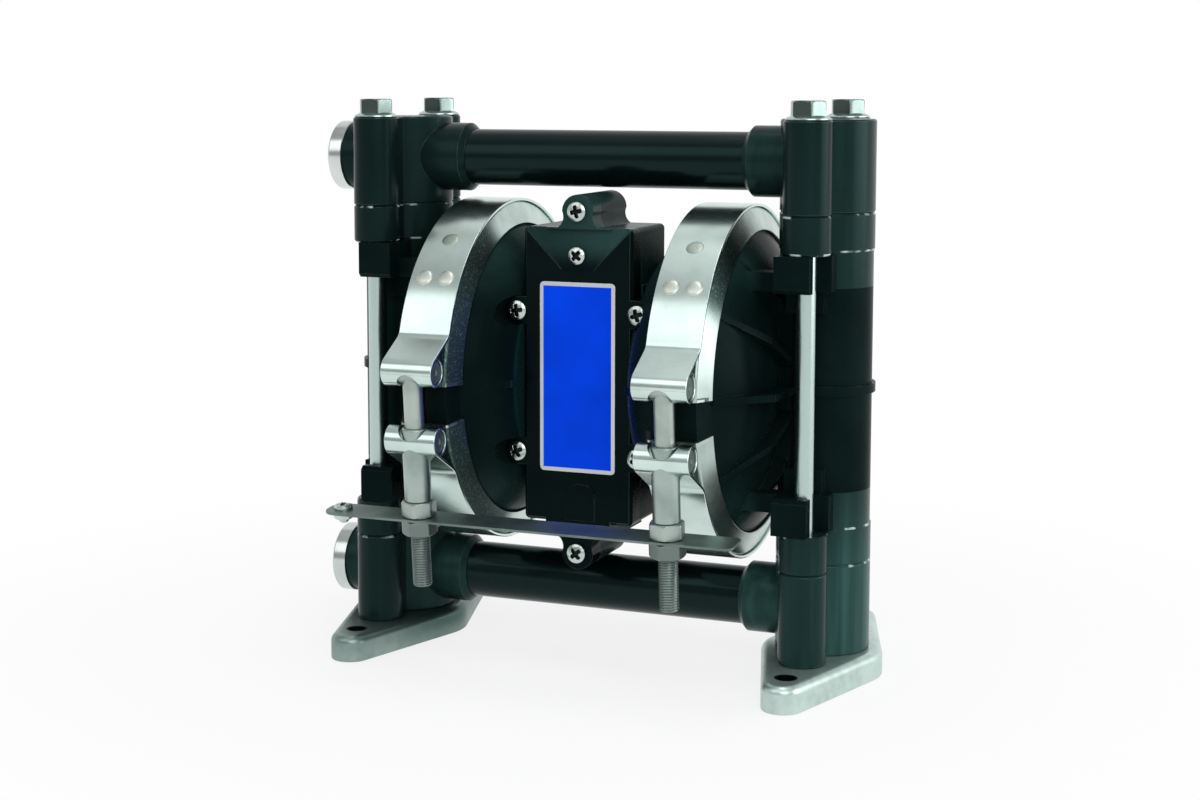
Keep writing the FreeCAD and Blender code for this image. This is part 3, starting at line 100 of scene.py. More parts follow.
class Level(Named):
    """The outlet above and the inlet below, as a sign along Z."""

    OUTLET = 1.0
    INLET = -1.0


@dataclass(frozen=True)
class Place:
    """A local frame: an origin and three directions, in millimetres of the pump's frame."""

    origin: Triple = (0.0, 0.0, 0.0)
    u: Triple = (1.0, 0.0, 0.0)
    v: Triple = (0.0, 1.0, 0.0)
    w: Triple = (0.0, 0.0, 1.0)

    def put(self, points: Array) -> Array:
        """Local points in the pump's frame: the origin plus each coordinate times its direction."""
        axes = np.array([self.u, self.v, self.w], float)
        return np.asarray(points, float) @ axes + np.array(self.origin, float)

    def shifted(self, u: float = 0.0, v: float = 0.0, w: float = 0.0) -> "Place":
        """The same frame with its origin moved along its own directions."""
        moved = self.put(np.array([u, v, w]))
        return Place(tuple(moved), self.u, self.v, self.w)


def clamp_place(side: Side) -> Place:
    """Frame of a clamp: u along X from the clamp's middle, v to the rear and w up, both turned."""
    c, s = math.cos(math.radians(CLAMP_TURN)), math.sin(math.radians(CLAMP_TURN))
    return Place((side.value * CLAMP_X, 0.0, MID_Z), (1.0, 0.0, 0.0), (0.0, c, s), (0.0, -s, c))


def manifold_place(level: Level, along: float) -> Place:
    """Frame on a manifold's axis, with w to the right for along 1 and to the left for -1."""
    return Place((0.0, 0.0, MID_Z + level.value * TUBE_HEIGHT), (0.0, 1.0, 0.0), (0.0, 0.0, 1.0), (along, 0.0, 0.0))


def add_object(name: str, data: bpy.types.ID) -> bpy.types.Object:
    """A new object in the scene's own collection."""
    made = bpy.data.objects.new(name, data)
    bpy.context.scene.collection.objects.link(made)
    return made


def modify(piece: bpy.types.Object, name: str, kind: str, **settings: float | str | bool) -> None:
    """Give a piece a live modifier with its settings."""
    made = piece.modifiers.new(name, kind)
    for key, value in settings.items():
        setattr(made, key, value)


def arc(centre: Sequence[float], radius: float, start: float, end: float, steps: int) -> Array:
    """Points on a circle between two angles in degrees, as centre + radius * (cos, sin).

    Returns:
        Array of steps rows with two coordinates.
    """
    t = np.radians(np.linspace(start, end, steps))
    return np.stack([centre[0] + radius * np.cos(t), centre[1] + radius * np.sin(t)], axis=1)


def circle(centre: Sequence[float], radius: float, steps: int) -> Array:
    """Points evenly round a whole circle."""
    return arc(centre, radius, 0.0, 360.0 * (steps - 1) / steps, steps)


def rounded(corners: Sequence[Sequence[float]], radius: float | Sequence[float], steps: int = 5) -> Array:
    """Closed polygon with an arc in place of each corner.

    An arc touches both sides at radius / tan(half the corner's angle), cut to half the shorter side.

    Args:
        corners: the polygon, no three points in a row in line.
        radius: one radius, or one for each corner.
        steps: points on each arc.
    """
    p = np.asarray(corners, float)
    before, after = np.roll(p, 1, 0) - p, np.roll(p, -1, 0) - p
    long_b, long_a = np.linalg.norm(before, axis=1), np.linalg.norm(after, axis=1)
    a, b = before / long_b[:, None], after / long_a[:, None]
    half = 0.5 * np.arccos(np.clip((a * b).sum(1), -0.9999, 0.9999))
    wish = np.broadcast_to(np.asarray(radius, float), half.shape)
    reach = np.minimum(wish / np.tan(half), 0.49 * np.minimum(long_b, long_a))
    toward = a + b
    toward = toward / np.linalg.norm(toward, axis=1)[:, None]
    centre = p + toward * (reach / np.cos(half))[:, None]
    first = p + a * reach[:, None] - centre
    last = p + b * reach[:, None] - centre
    bend = (math.pi - 2 * half)[:, None, None]
    t = np.linspace(0.0, 1.0, steps)[None, :, None]
    spread = np.sin((1 - t) * bend) * first[:, None] + np.sin(t * bend) * last[:, None]
    return (centre[:, None] + spread / np.sin(bend)).reshape(-1, 2)


def evenly(path: Array, spacing: float) -> Array:
    """A closed line's points set anew at equal steps of its length."""
    line = np.vstack([path, path[:1]])
    run = np.concatenate([[0.0], np.cumsum(np.linalg.norm(np.diff(line, axis=0), axis=1))])
    count = max(8, int(round(run[-1] / spacing)))
    wanted = np.linspace(0.0, run[-1], count + 1)[:-1]
    return np.stack([np.interp(wanted, run, line[:, k]) for k in range(line.shape[1])], axis=1)


def inset(outline: Array, distance: float) -> Array:
    """A closed outline moved inwards by a distance along the mean of its sides' normals."""
    ahead = np.roll(outline, -1, 0) - outline
    behind = outline - np.roll(outline, 1, 0)
    ahead /= np.linalg.norm(ahead, axis=1)[:, None]
    behind /= np.linalg.norm(behind, axis=1)[:, None]
    along = ahead + behind
    along /= np.linalg.norm(along, axis=1)[:, None]
    normal = np.stack([-along[:, 1], along[:, 0]], axis=1)
    x, y = outline[:, 0], outline[:, 1]
    area = 0.5 * np.sum(x * np.roll(y, -1) - y * np.roll(x, -1))
    half_turn = np.clip((along * ahead).sum(1), 0.5, 1.0)
    return outline + normal * (math.copysign(distance, area) / half_turn)[:, None]


def inside(points: Array, outline: Array) -> Array:
    """Which points lie in a closed outline: those from which a ray crosses it an odd number of times."""
    x, y = points[:, 0][:, None], points[:, 1][:, None]
    a, b = outline, np.roll(outline, -1, 0)
    crosses = (a[:, 1] > y) != (b[:, 1] > y)
    slope = (b[:, 0] - a[:, 0]) / np.where(b[:, 1] == a[:, 1], 1e-12, b[:, 1] - a[:, 1])
    return (crosses & (x < a[:, 0] + slope * (y - a[:, 1]))).sum(1) % 2 == 1


class Skin:
    """Patches of one piece, gathered in millimetres and turned into one mesh."""

    def __init__(self, name: str) -> None:
        self.name = name
        self.points: list[Array] = []
        self.flow: list[Array] = []
        self.faces: list[list[int]] = []
        self.count = 0

    def add(self, points: Array, flow: Array | None = None) -> int:
        """Keep points and return the index of the first one.

        Args:
            points: rows of three coordinates.
            flow: where the surface's grain lies, as (along, across, depth) in millimetres; the points
                themselves if it is left out.
        """
        flat = np.asarray(points, float).reshape(-1, 3)
        first = self.count
        self.points.append(flat)
        self.flow.append(flat if flow is None else np.asarray(flow, float).reshape(-1, 3))
        self.count += len(flat)
        return first

    def grid(self, points: Array, wrap_u: bool = False, wrap_v: bool = False, flow: Array | None = None) -> None:
        """Quads between neighbours of a rows-by-columns array of points."""
        rows, columns = points.shape[:2]
        first = self.add(points, flow)
        index = first + np.arange(rows * columns).reshape(rows, columns)
        if wrap_u:
            index = np.vstack([index, index[:1]])
        if wrap_v:
            index = np.hstack([index, index[:, :1]])
        quads = np.stack([index[:-1, :-1], index[1:, :-1], index[1:, 1:], index[:-1, 1:]], axis=-1)
        self.faces.extend(quads.reshape(-1, 4).tolist())

    def cap(self, ring: Array) -> None:
        """One flat face on a closed ring of points."""
        first = self.add(ring)
        self.faces.append(list(range(first, first + len(ring))))

    def lathe(self, profile: Array, place: Place, steps: int, closed: bool = False) -> None:
        """A profile of (along w, radius) turned about the frame's w axis: x = r cos a, y = r sin a."""
        profile = np.asarray(profile, float)
        angle = np.radians(np.linspace(0.0, 360.0, steps, endpoint=False))
        along, radius = profile[:, 0][None, :], profile[:, 1][None, :]
        c, s = np.cos(angle)[:, None], np.sin(angle)[:, None]
        local = np.stack([radius * c, radius * s, along + 0 * c], axis=-1)
        flow = np.stack([angle[:, None] * TURNED_GRAIN + 0 * along, along + 0 * c, radius + 0 * c], axis=-1)
        self.grid(place.put(local), wrap_u=True, wrap_v=closed, flow=flow)

    def slab(self, outline: Array, low: float, high: float, place: Place, low_edge: float = 0.5,
             high_edge: float = 0.5, holes: Sequence[Array] = (), hole_edge: float = 0.4, steps: int = 4) -> None:
        """A plan outline drawn from one level to another, with a quarter round on both rims.

        A rim's row at angle t is the outline moved in by r(1 - sin t), at r(1 - cos t) from its level.

        Args:
            outline: closed outline in the frame's u and v.
            low: lower level along w.
            high: upper level.
            place: the frame.
            low_edge: radius of the lower rim.
            high_edge: radius of the upper rim.
            holes: outlines of through holes.
            hole_edge: radius of the holes' rims.
            steps: rows on each rim.
        """
        rims: list[tuple[Array, Array]] = []
        for loop, low_r, high_r, sign in [(outline, low_edge, high_edge, 1.0)] + [
                (hole, hole_edge, hole_edge, -1.0) for hole in holes]:
            t = np.linspace(0.0, math.pi / 2, steps + 1)
            rows = [(low_r * (1 - math.sin(a)), low + low_r * (1 - math.cos(a))) for a in t]
            rows += [(high_r * (1 - math.sin(a)), high - high_r * (1 - math.cos(a))) for a in t[::-1]]
            rings = []
            for back, level in rows:
                moved = inset(loop, sign * back) if back > 1e-9 else loop
                rings.append(np.column_stack([moved, np.full(len(moved), level)]))
            self.grid(place.put(np.array(rings)), wrap_v=True)
            rims.append((rings[0], rings[-1]))
        for end in (0, 1):
            rings = [pair[end] for pair in rims]
            if len(rings) == 1:
                self.cap(place.put(rings[0]))
            else:
                self.pierced(rings, place)

    def pierced(self, rings: Sequence[Array], place: Place) -> None:
        """A flat face with holes: triangles between the rings, kept where they lie inside and in no hole."""
        flat = np.vstack([ring[:, :2] for ring in rings])
        edges, first = [], 0
        for ring in rings:
            index = first + np.arange(len(ring))
            edges += np.column_stack([index, np.roll(index, -1)]).tolist()
            first += len(ring)
        found, _, faces, _, _, _ = delaunay_2d_cdt([Vector(p) for p in flat.tolist()], edges, [], 0, 1e-6)
        points = np.array([tuple(p) for p in found])
        triangles = np.array(faces)
        middle = points[triangles].mean(axis=1)
        keep = inside(middle, rings[0][:, :2])
        for ring in rings[1:]:
            keep &= ~inside(middle, ring[:, :2])
        level = float(rings[0][0, 2])
        first = self.add(place.put(np.column_stack([points, np.full(len(points), level)])))
        self.faces.extend((triangles[keep] + first).tolist())

    def sweep(self, path: Array, section: Callable[[float], Array], place: Place) -> None:
        """A section carried along a flat path in the frame's v and w.

        A point (a, b) of the section lies a along u and b along the path's normal, which is its
        direction turned a quarter.

        Args:
            path: rows of (v, w).
            section: closed outline of (a, b) for a distance along the path.
            place: the frame.
        """
        step = np.gradient(path, axis=0)
        step /= np.linalg.norm(step, axis=1)[:, None]
        normal = np.stack([-step[:, 1], step[:, 0]], axis=1)
        run = np.concatenate([[0.0], np.cumsum(np.linalg.norm(np.diff(path, axis=0), axis=1))])
        rows, flow = [], []
        for k in range(len(path)):
            shape = section(run[k])
            across = path[k] + shape[:, 1:2] * normal[k]
            rows.append(np.column_stack([shape[:, 0], across]))
            flow.append(np.column_stack([np.full(len(shape), run[k]), shape]))
        points = place.put(np.array(rows))
        self.grid(points, wrap_v=True, flow=np.array(flow))
        self.cap(points[0])
        self.cap(points[-1])

    def build(self, body: str, slot: str, replaces: Sequence[str], crease: float) -> bpy.types.Object:
        """The mesh object: doubles merged, normals outwards, riding on its body.

        Args:
            body: CAD body that it moves with.
            slot: material slot of the record.
            replaces: CAD nodes that it stands for.
            crease: angle past which an edge stays sharp.
        """
        mesh = bpy.data.meshes.new(self.name)
        mesh.from_pydata((np.vstack(self.points) * MM).tolist(), [], self.faces)
        attribute = mesh.attributes.new("flow", "FLOAT_VECTOR", "POINT")
        attribute.data.foreach_set("vector", np.vstack(self.flow).astype(np.float32).ravel())
        work = bmesh.new()
        work.from_mesh(mesh)
        bmesh.ops.remove_doubles(work, verts=work.verts, dist=MERGE_REACH)
        bmesh.ops.dissolve_degenerate(work, edges=work.edges, dist=1e-7)
        bmesh.ops.recalc_face_normals(work, faces=work.faces)
        work.to_mesh(mesh)
        work.free()
        mesh.validate()
        mesh.shade_smooth()
        mesh.set_sharp_from_angle(angle=math.radians(crease))
        piece = add_object(self.name, mesh)
        modify(piece, "even_normals", "WEIGHTED_NORMAL", keep_sharp=True)
        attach(piece, body)
        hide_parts(*replaces)
        log.info("%s: %d points, %d faces", self.name, len(mesh.vertices), len(mesh.polygons))
        return piece


def maths_method(operation: str, meaning: str) -> Callable[..., "Socket"]:
    """A method of Socket that puts one kind of Math node on it and on what it is given.

    Args:
        operation: the Math node's operation.
        meaning: the method's docstring.
    """
    def method(self: "Socket", *others: "Socket | float") -> "Socket":
        inputs = {0: self, **{k + 1: other for k, other in enumerate(others)}}
        return self.shader.node("ShaderNodeMath", {"operation": operation}, inputs)

    method.__doc__ = meaning
    return method


class Socket:
    """A shader socket that takes part in Python expressions."""

    def __init__(self, shader: "Graph", link: bpy.types.NodeSocket) -> None:
        self.shader = shader
        self.link = link

    __add__ = __radd__ = maths_method("ADD", "Sum.")
    __mul__ = __rmul__ = maths_method("MULTIPLY", "Product.")
    __sub__ = maths_method("SUBTRACT", "Difference.")
    __truediv__ = maths_method("DIVIDE", "Quotient.")
    __abs__ = maths_method("ABSOLUTE", "Size without sign.")
    power = maths_method("POWER", "This value to a power.")
    least = maths_method("MINIMUM", "The smaller of two values.")
    most = maths_method("MAXIMUM", "The larger of two values.")

    def __rsub__(self, other: float) -> "Socket":
        """Difference from a number."""
        return (self * -1.0) + other

    def between(self, low: float, high: float, to_low: float = 0.0, to_high: float = 1.0) -> "Socket":
        """This value carried smoothly from one range to another and held at its ends."""
        return self.shader.node("ShaderNodeMapRange", {"interpolation_type": "SMOOTHSTEP"},
                                {"Value": self, "From Min": low, "From Max": high,
                                 "To Min": to_low, "To Max": to_high}, "Result")


class Graph:
    """Nodes of one material or world."""

    def __init__(self, owner: bpy.types.Material | bpy.types.World) -> None:
        owner.use_nodes = True
        self.tree = owner.node_tree
        self.tree.nodes.clear()

    def node(self, kind: str, settings: dict, inputs: dict, output: int | str | None = 0) -> Socket | None:
        """One node of any kind: its settings first, then the values or links of its sockets.

        Args:
            kind: the node's type.
            settings: attributes of the node.
            inputs: values or sockets by input name or number.
            output: name or number of the output that is returned, or None.
        """
        made = self.tree.nodes.new(kind)
        for key, value in settings.items():
            setattr(made, key, value)
        for key, value in inputs.items():
            if isinstance(value, Socket):
                self.tree.links.new(value.link, made.inputs[key])
            else:
                made.inputs[key].default_value = value
        return None if output is None else Socket(self, made.outputs[output])

    def finish(self, kind: str, surface: Socket) -> None:
        """The output node, fed by a surface or a background."""
        self.node(kind, {}, {"Surface": surface}, None)

    def seen(self) -> Socket:
        """1 for rays of the camera, of mirrors and of glass, 0 for the rest."""
        rays = [self.node("ShaderNodeLightPath", {}, {}, word)
                for word in ("Is Camera Ray", "Is Glossy Ray", "Is Transmission Ray")]
        return (rays[0] + rays[1] + rays[2]).least(1.0)

    def place(self) -> Socket:
        """Object coordinates in metres."""
        return self.node("ShaderNodeTexCoord", {}, {}, "Object")

    def grain(self) -> Socket:
        """The piece's own grain coordinates in millimetres: along, across, depth."""
        return self.node("ShaderNodeAttribute", {"attribute_name": "flow"}, {}, "Vector")

    def stretched(self, where: Socket, scale: Sequence[float]) -> Socket:
        """Coordinates with each axis scaled on its own."""
        return self.node("ShaderNodeVectorMath", {"operation": "MULTIPLY"}, {0: where, 1: tuple(scale)})

    def parts(self, where: Socket) -> tuple[Socket, Socket, Socket]:
        """The three coordinates of a vector."""
        made = self.node("ShaderNodeSeparateXYZ", {}, {0: where})
        return tuple(Socket(self, output) for output in made.link.node.outputs)

    def noise(self, where: Socket, scale: float, detail: float = 3.0, roughness: float = 0.5) -> Socket:
        """Cloudy noise from 0 to 1."""
        inputs = {"Vector": where, "Scale": scale, "Detail": detail, "Roughness": roughness}
        return self.node("ShaderNodeTexNoise", {}, inputs)

    def mix(self, share: Socket, first: Triple | Socket, second: Triple | Socket) -> Socket:
        """Two colours mixed by a share."""
        colours = [c if isinstance(c, Socket) else (*c, 1.0) for c in (first, second)]
        return self.node("ShaderNodeMix", {"data_type": "RGBA"}, {0: share, 6: colours[0], 7: colours[1]}, 2)

    def bump(self, height: Socket, distance: float, strength: float) -> Socket:
        """Normal of a height field whose full range is a distance in metres."""
        inputs = {"Height": height, "Distance": distance, "Strength": strength}
        return self.node("ShaderNodeBump", {}, inputs, "Normal")


class Shader(Graph):
    """Nodes of one material with a principled surface."""

    def __init__(self, name: str) -> None:
        self.material = bpy.data.materials.new(name)
        super().__init__(self.material)
        self.surface = self.tree.nodes.new("ShaderNodeBsdfPrincipled")
        output = self.tree.nodes.new("ShaderNodeOutputMaterial")
        self.tree.links.new(self.surface.outputs[0], output.inputs["Surface"])

    def set(self, **values: "Socket | float | Sequence[float]") -> None:
        """Sockets of the surface shader, named with underscores for blanks."""
        for key, value in values.items():
            socket = self.surface.inputs[key.replace("_", " ")]
            if isinstance(value, Socket):
                self.tree.links.new(value.link, socket)
            else:
                socket.default_value = value


@dataclass(frozen=True)
class MouldedPlastic:
    """Glass-filled black polymer: fine moulded grain, faint flow clouds, handling dust."""

    name: str
    colour: Triple
    cloud: Triple
    gloss: float
    grain: float = 0.00002
    sheen: float = 0.30
    tint: Triple = (0.50, 1.0, 0.95)

    def tone(self, s: Shader, where: Socket, base: Socket) -> Socket:
        """The body colour, which other kinds of plastic change."""
        return base

    def make(self) -> bpy.types.Material:
        """The material."""
        s = Shader(self.name)
        where = s.place()
        clouds = s.noise(where, 22.0, 4.0, 0.55)
        speck = s.noise(where, 900.0, 2.0)
        fine = s.noise(where, 2600.0, 2.0)
        base = s.mix(clouds.between(0.35, 0.72), self.colour, self.cloud)
        s.set(Base_Color=self.tone(s, where, base),
              Roughness=(clouds - 0.5) * 0.12 + speck * 0.08 + (self.gloss - 0.04),
              Normal=s.bump(fine * 0.6 + speck * 0.4, self.grain, 0.5),
              Specular_Tint=(*self.tint, 1.0), Specular_IOR_Level=self.sheen)
        return s.material


@dataclass(frozen=True)
class CoverPlastic(MouldedPlastic):
    """The same plastic, rubbed paler on the facet above the label.

    The facet's mask is its trapezoid: the distance inside its slanting sides and above its lower edge.
    """

    facet_low: float = (MID_Z + 46.0) * MM
    half_low: float = 0.007
    # Colour of the painted highlight on the facet above the label.
    worn: Triple = (0.023, 0.058, 0.054)

    def tone(self, s: Shader, where: Socket, base: Socket) -> Socket:
        """Body colour with the worn facet, paler to the right and upwards."""
        x, _, z = s.parts(where)
        rise = z - self.facet_low
        aside = abs(x) * -1.0 + rise * 0.97 + self.half_low
        facet = aside.between(-0.0002, 0.0004) * rise.between(0.0, 0.011, 0.0, 1.0)
        # Painted highlight on the facet, stronger to the right and upwards.
        return s.mix(facet * x.between(-0.022, 0.020, 0.45, 1.0), base, self.worn)


@dataclass(frozen=True)
class HousingPlastic(MouldedPlastic):
    """The same plastic, paler on the crowns of the covers and on the side faces of the centre housing."""

    # Colour of the painted light on the covers' crowns.
    crown: Triple = (0.016, 0.046, 0.041)
    # Colour of the painted light on the centre housing's side faces.
    flat: Triple = (0.0060, 0.0260, 0.0240)

    def tone(self, s: Shader, where: Socket, base: Socket) -> Socket:
        """Body colour, paler far above and below the shaft and where |x| is the centre housing's half width."""
        x, _, z = s.parts(where)
        patches = s.noise(where, 48.0, 3.0).between(0.30, 0.62, 0.45, 1.0)
        aside = abs(x)
        # Painted light on the covers' crowns, far above and below the shaft, in patches.
        high = abs(z - MID_Z * MM).between(0.028, 0.062) * aside.between(0.070, 0.076, 1.0, 0.0)
        # Painted light on the centre housing's side faces.
        side = aside.between(0.0225, 0.0236) * aside.between(0.0243, 0.0248, 1.0, 0.0)
        return s.mix(side * 0.9, s.mix(high * patches, base, self.crown), self.flat)


@dataclass(frozen=True)
class ColumnPlastic(MouldedPlastic):
    """The same plastic, paler with dust towards the floor and rubbed bright at the parting lines.

    The dust lies in upright runs; the rubbed spots are short runs on the rims beside a parting line.
    """

    # Colour of the painted side light, in dust-like upright runs.
    dust: Triple = (0.034, 0.092, 0.083)
    # Colour of the painted glints beside the parting lines.
    rubbed: Triple = (0.46, 0.56, 0.53)
    rims: tuple[float, ...] = (0.06935, 0.0551, -0.0703, -0.0551)

    def tone(self, s: Shader, where: Socket, base: Socket) -> Socket:
        """Body colour under its dust: most of it low down, on the right and behind the front boss."""
        x, y, z = s.parts(where)
        runs = s.noise(s.stretched(where, (1.0, 1.0, 0.06)), 190.0, 2.0).between(0.35, 0.68, 0.55, 1.0)
        low = z.between(0.085, 0.040, 0.20, 1.0)
        share = x.between(-0.05, 0.05, 0.35, 1.0) * y.between(-0.026, -0.016, 0.30, 1.0)
        level = z - MID_Z * MM
        near = [abs(level - rim).between(0.0003, 0.0005, 1.0, 0.0) for rim in self.rims]
        spots = s.noise(s.stretched(where, (1.0, 1.0, 0.15)), 150.0, 2.0).between(0.52, 0.62)
        glint_share = near[0].most(near[1]).most(near[2]).most(near[3]) * spots
        # Painted light: paler low down and on the right, with bright glints beside the parting lines.
        return s.mix(glint_share, s.mix(low * share * runs, base, self.dust), self.rubbed)


@dataclass(frozen=True)
class BrushedMetal:
    """Metal with fine lines along its grain and soft clouds of tint.

    The lines come from noise on the grain coordinates, squeezed across the grain.
    """

    name: str
    colour: Triple
    shade: Triple
    roughness: float
    squeeze: Triple = (0.05, 9.0, 9.0)
    depth: float = 0.000004
    spread: float = 0.10

    def tone(self, s: Shader, base: Socket) -> Socket:
        """The metal's colour, which other kinds of metal change."""
        return base

    def dull(self, s: Shader) -> Socket | float:
        """What is added to the roughness, which other kinds of metal change."""
        return 0.0

    def make(self) -> bpy.types.Material:
        """The material."""
        s = Shader(self.name)
        lines = s.noise(s.stretched(s.grain(), self.squeeze), 1.0, 3.0, 0.6)
        clouds = s.noise(s.place(), 60.0, 3.0)
        smear = s.noise(s.place(), 260.0, 2.0)
        s.set(Metallic=1.0,
              Base_Color=self.tone(s, s.mix(clouds.between(0.35, 0.7), self.colour, self.shade)),
              Roughness=(lines - 0.5) * self.spread + (smear - 0.5) * 0.06 + self.roughness + self.dull(s),
              Normal=s.bump(lines, self.depth, 0.6))
        return s.material


@dataclass(frozen=True)
class BoltMetal(BrushedMetal):
    """Zinc of the tie bolts: bright shank and flange, and one flat of each head browned by old oil.

    The third grain coordinate is a radius on turned faces and less than zero on the flats.
    """

    shank: Triple = (0.47, 0.585, 0.555)
    # Colour of the painted shade on one flat of each head.
    oil: Triple = (0.085, 0.115, 0.105)

    def tone(self, s: Shader, base: Socket) -> Socket:
        """The metal with its bright turned faces and its dark flat."""
        _, _, kind = s.parts(s.grain())
        turned = s.mix(kind.between(1.5, 2.5), base, self.shank)
        return s.mix(kind.between(-2.17, -2.11) * kind.between(-1.6, -1.5, 1.0, 0.0), turned, self.oil)


@dataclass(frozen=True)
class ClampSteel(BrushedMetal):
    """Steel of the clamp bolts, greyer on the thread under the strip and dull on the pins' end faces.

    The second grain coordinate is the height on the bolt.
    """

    thread: Triple = (0.17, 0.215, 0.20)
    butt: Triple = (0.12, 0.155, 0.145)

    def ends(self, s: Shader) -> Socket:
        """1 on the end faces of the cross pins, by the distance from the clamp's middle."""
        x, _, _ = s.parts(s.place())
        return abs(abs(x) - CLAMP_X * MM).between(0.0092, 0.0098)

    def tone(self, s: Shader, base: Socket) -> Socket:
        """The steel, darker below the sleeve and on the pins' ends."""
        _, height, _ = s.parts(s.grain())
        grey = s.mix(height.between(-46.0, -41.0, 1.0, 0.0), base, self.thread)
        return s.mix(self.ends(s) * 0.85, grey, self.butt)

    def dull(self, s: Shader) -> Socket:
        """Rougher on the pins' ends."""
        return self.ends(s) * 0.20


@dataclass(frozen=True)
class RetainerMetal(BrushedMetal):
    """Steel of the half rings, bright at the top and stained below, with pale specks in the stain.

    The first grain coordinate is the angle round the ring times 65.
    """

    # Colour of the painted shade on the flanks below the crown.
    stain: Triple = (0.066, 0.112, 0.101)
    speck: Triple = (0.28, 0.38, 0.35)

    def stained(self, s: Shader) -> Socket:
        """How stained a place is: the front below the crown, less on the right ring's lower half."""
        along, _, _ = s.parts(s.grain())
        x, _, _ = s.parts(s.place())
        unshaded = x.between(-0.01, 0.01) * along.between(156.0, 170.0).most(along.between(-2.0, 2.0, 1.0, 0.0))
        # Painted shade on the front below the crown, lifted on the right ring's lower half.
        return abs(along).between(117.0, 131.0) * (1.0 - unshaded * 0.85)

    def tone(self, s: Shader, base: Socket) -> Socket:
        """The steel under its stain."""
        specks = s.noise(s.place(), 1100.0, 3.0, 0.7).between(0.52, 0.72)
        return s.mix(self.stained(s), base, s.mix(specks, self.stain, self.speck))

    def dull(self, s: Shader) -> Socket:
        """Rougher where it is stained."""
        return self.stained(s) * 0.16


@dataclass(frozen=True)
class ScrewMetal(BrushedMetal):
    """Bright screw whose recess is dark with dirt; the depth of the recess is the third grain coordinate."""

    # Colour of the painted shade in the recess.
    dirt: Triple = (0.012, 0.020, 0.018)

    def tone(self, s: Shader, base: Socket) -> Socket:
        """The metal, dark where the recess is deep."""
        _, _, deep = s.parts(s.grain())
        return s.mix(deep.between(0.10, 0.55), base, self.dirt)


@dataclass(frozen=True)
class CastMetal:
    """Blasted casting: sand grain, dull spots, dark bores, and grime on the left one's rear."""

    name: str
    colour: Triple
    shade: Triple
    roughness: float
    grain: float = 0.00012
    hole_at: tuple[float, float] = (COLUMN_X * MM, 0.052)
    hole_radius: float = 0.0044
    # Colour of the painted shadow on the left foot, under the pump.
    grime: Triple = (0.055, 0.105, 0.092)

    def make(self) -> bpy.types.Material:
        """The material."""
        s = Shader(self.name)
        where = s.place()
        sand = s.noise(where, 1300.0, 3.0, 0.6)
        lumps = s.noise(where, 240.0, 3.0)
        clouds = s.noise(where, 40.0, 3.0)
        x, y, z = s.parts(where)
        aside, ahead = abs(x) - self.hole_at[0], abs(y) - self.hole_at[1]
        # Painted shade: dark inside the bores' rims.
        bore = (aside * aside + ahead * ahead).power(0.5).between(self.hole_radius, self.hole_radius + 0.0003)
        unshaded = s.mix((clouds * 0.6 + lumps * 0.4).between(0.35, 0.65), self.colour, self.shade)
        # Painted shadow on the left foot, strongest to the rear and at the top.
        shadow_share = x.between(-0.02, 0.02, 1.0, 0.0) * y.between(-0.058, -0.015, 0.62, 0.97)
        skin = s.mix(shadow_share * z.between(0.0, 0.0075, 0.75, 1.0), unshaded, self.grime)
        s.set(Metallic=0.85,
              Base_Color=s.mix(bore, (0.008, 0.014, 0.013), skin),
              Roughness=(lumps - 0.5) * 0.15 + self.roughness,
              Normal=s.bump(sand * 0.5 + lumps * 0.5, self.grain, 0.6))
        return s.material


@dataclass(frozen=True)
class LabelFilm:
    """Blue printed film with a silver frame line near its edge, under a clear coat.

    The frame's mask comes from the distance to the plate's edge on object coordinates.
    """

    name: str
    half_width: float
    top: float
    bottom: float
    line: float
    blue: Triple = (0.0006, 0.066, 0.95)
    silver: Triple = (0.62, 0.64, 0.66)

    def make(self) -> bpy.types.Material:
        """The material."""
        s = Shader(self.name)
        x, _, z = s.parts(s.place())
        middle = (self.top + self.bottom) / 2
        half = (self.top - self.bottom) / 2
        aside = abs(x) * -1.0 + self.half_width
        above = abs(z - middle) * -1.0 + half
        edge = aside.least(above)
        border = edge.between(self.line * 0.92, self.line * 1.08, 1.0, 0.0)
        print_grain = s.noise(s.place(), 1500.0, 2.0)
        cloud = s.noise(s.place(), 45.0, 2.0)
        deep = s.mix(cloud.between(0.3, 0.75), self.blue, tuple(c * 0.82 for c in self.blue))
        s.set(Base_Color=s.mix(border, deep, self.silver),
              Metallic=border * 0.9,
              Roughness=(print_grain - 0.5) * 0.08 + border * -0.02 + 0.34,
              Specular_IOR_Level=0.03,
              Normal=s.bump(print_grain, 0.00001, 0.4))
        return s.material


@dataclass(frozen=True)
class SoftFinish:
    """Dull matter such as rubber, white polymer or porous plastic, with a visible grain."""

    name: str
    colour: Triple
    shade: Triple
    roughness: float
    scale: float = 700.0
    grain: float = 0.00008

    def make(self) -> bpy.types.Material:
        """The material."""
        s = Shader(self.name)
        where = s.place()
        pores = s.noise(where, self.scale, 3.0, 0.65)
        clouds = s.noise(where, 35.0, 2.0)
        s.set(Base_Color=s.mix((pores * 0.5 + clouds * 0.5).between(0.35, 0.65), self.colour, self.shade),
              Roughness=(pores - 0.5) * 0.14 + self.roughness,
              Normal=s.bump(pores, self.grain, 0.6))
        return s.material


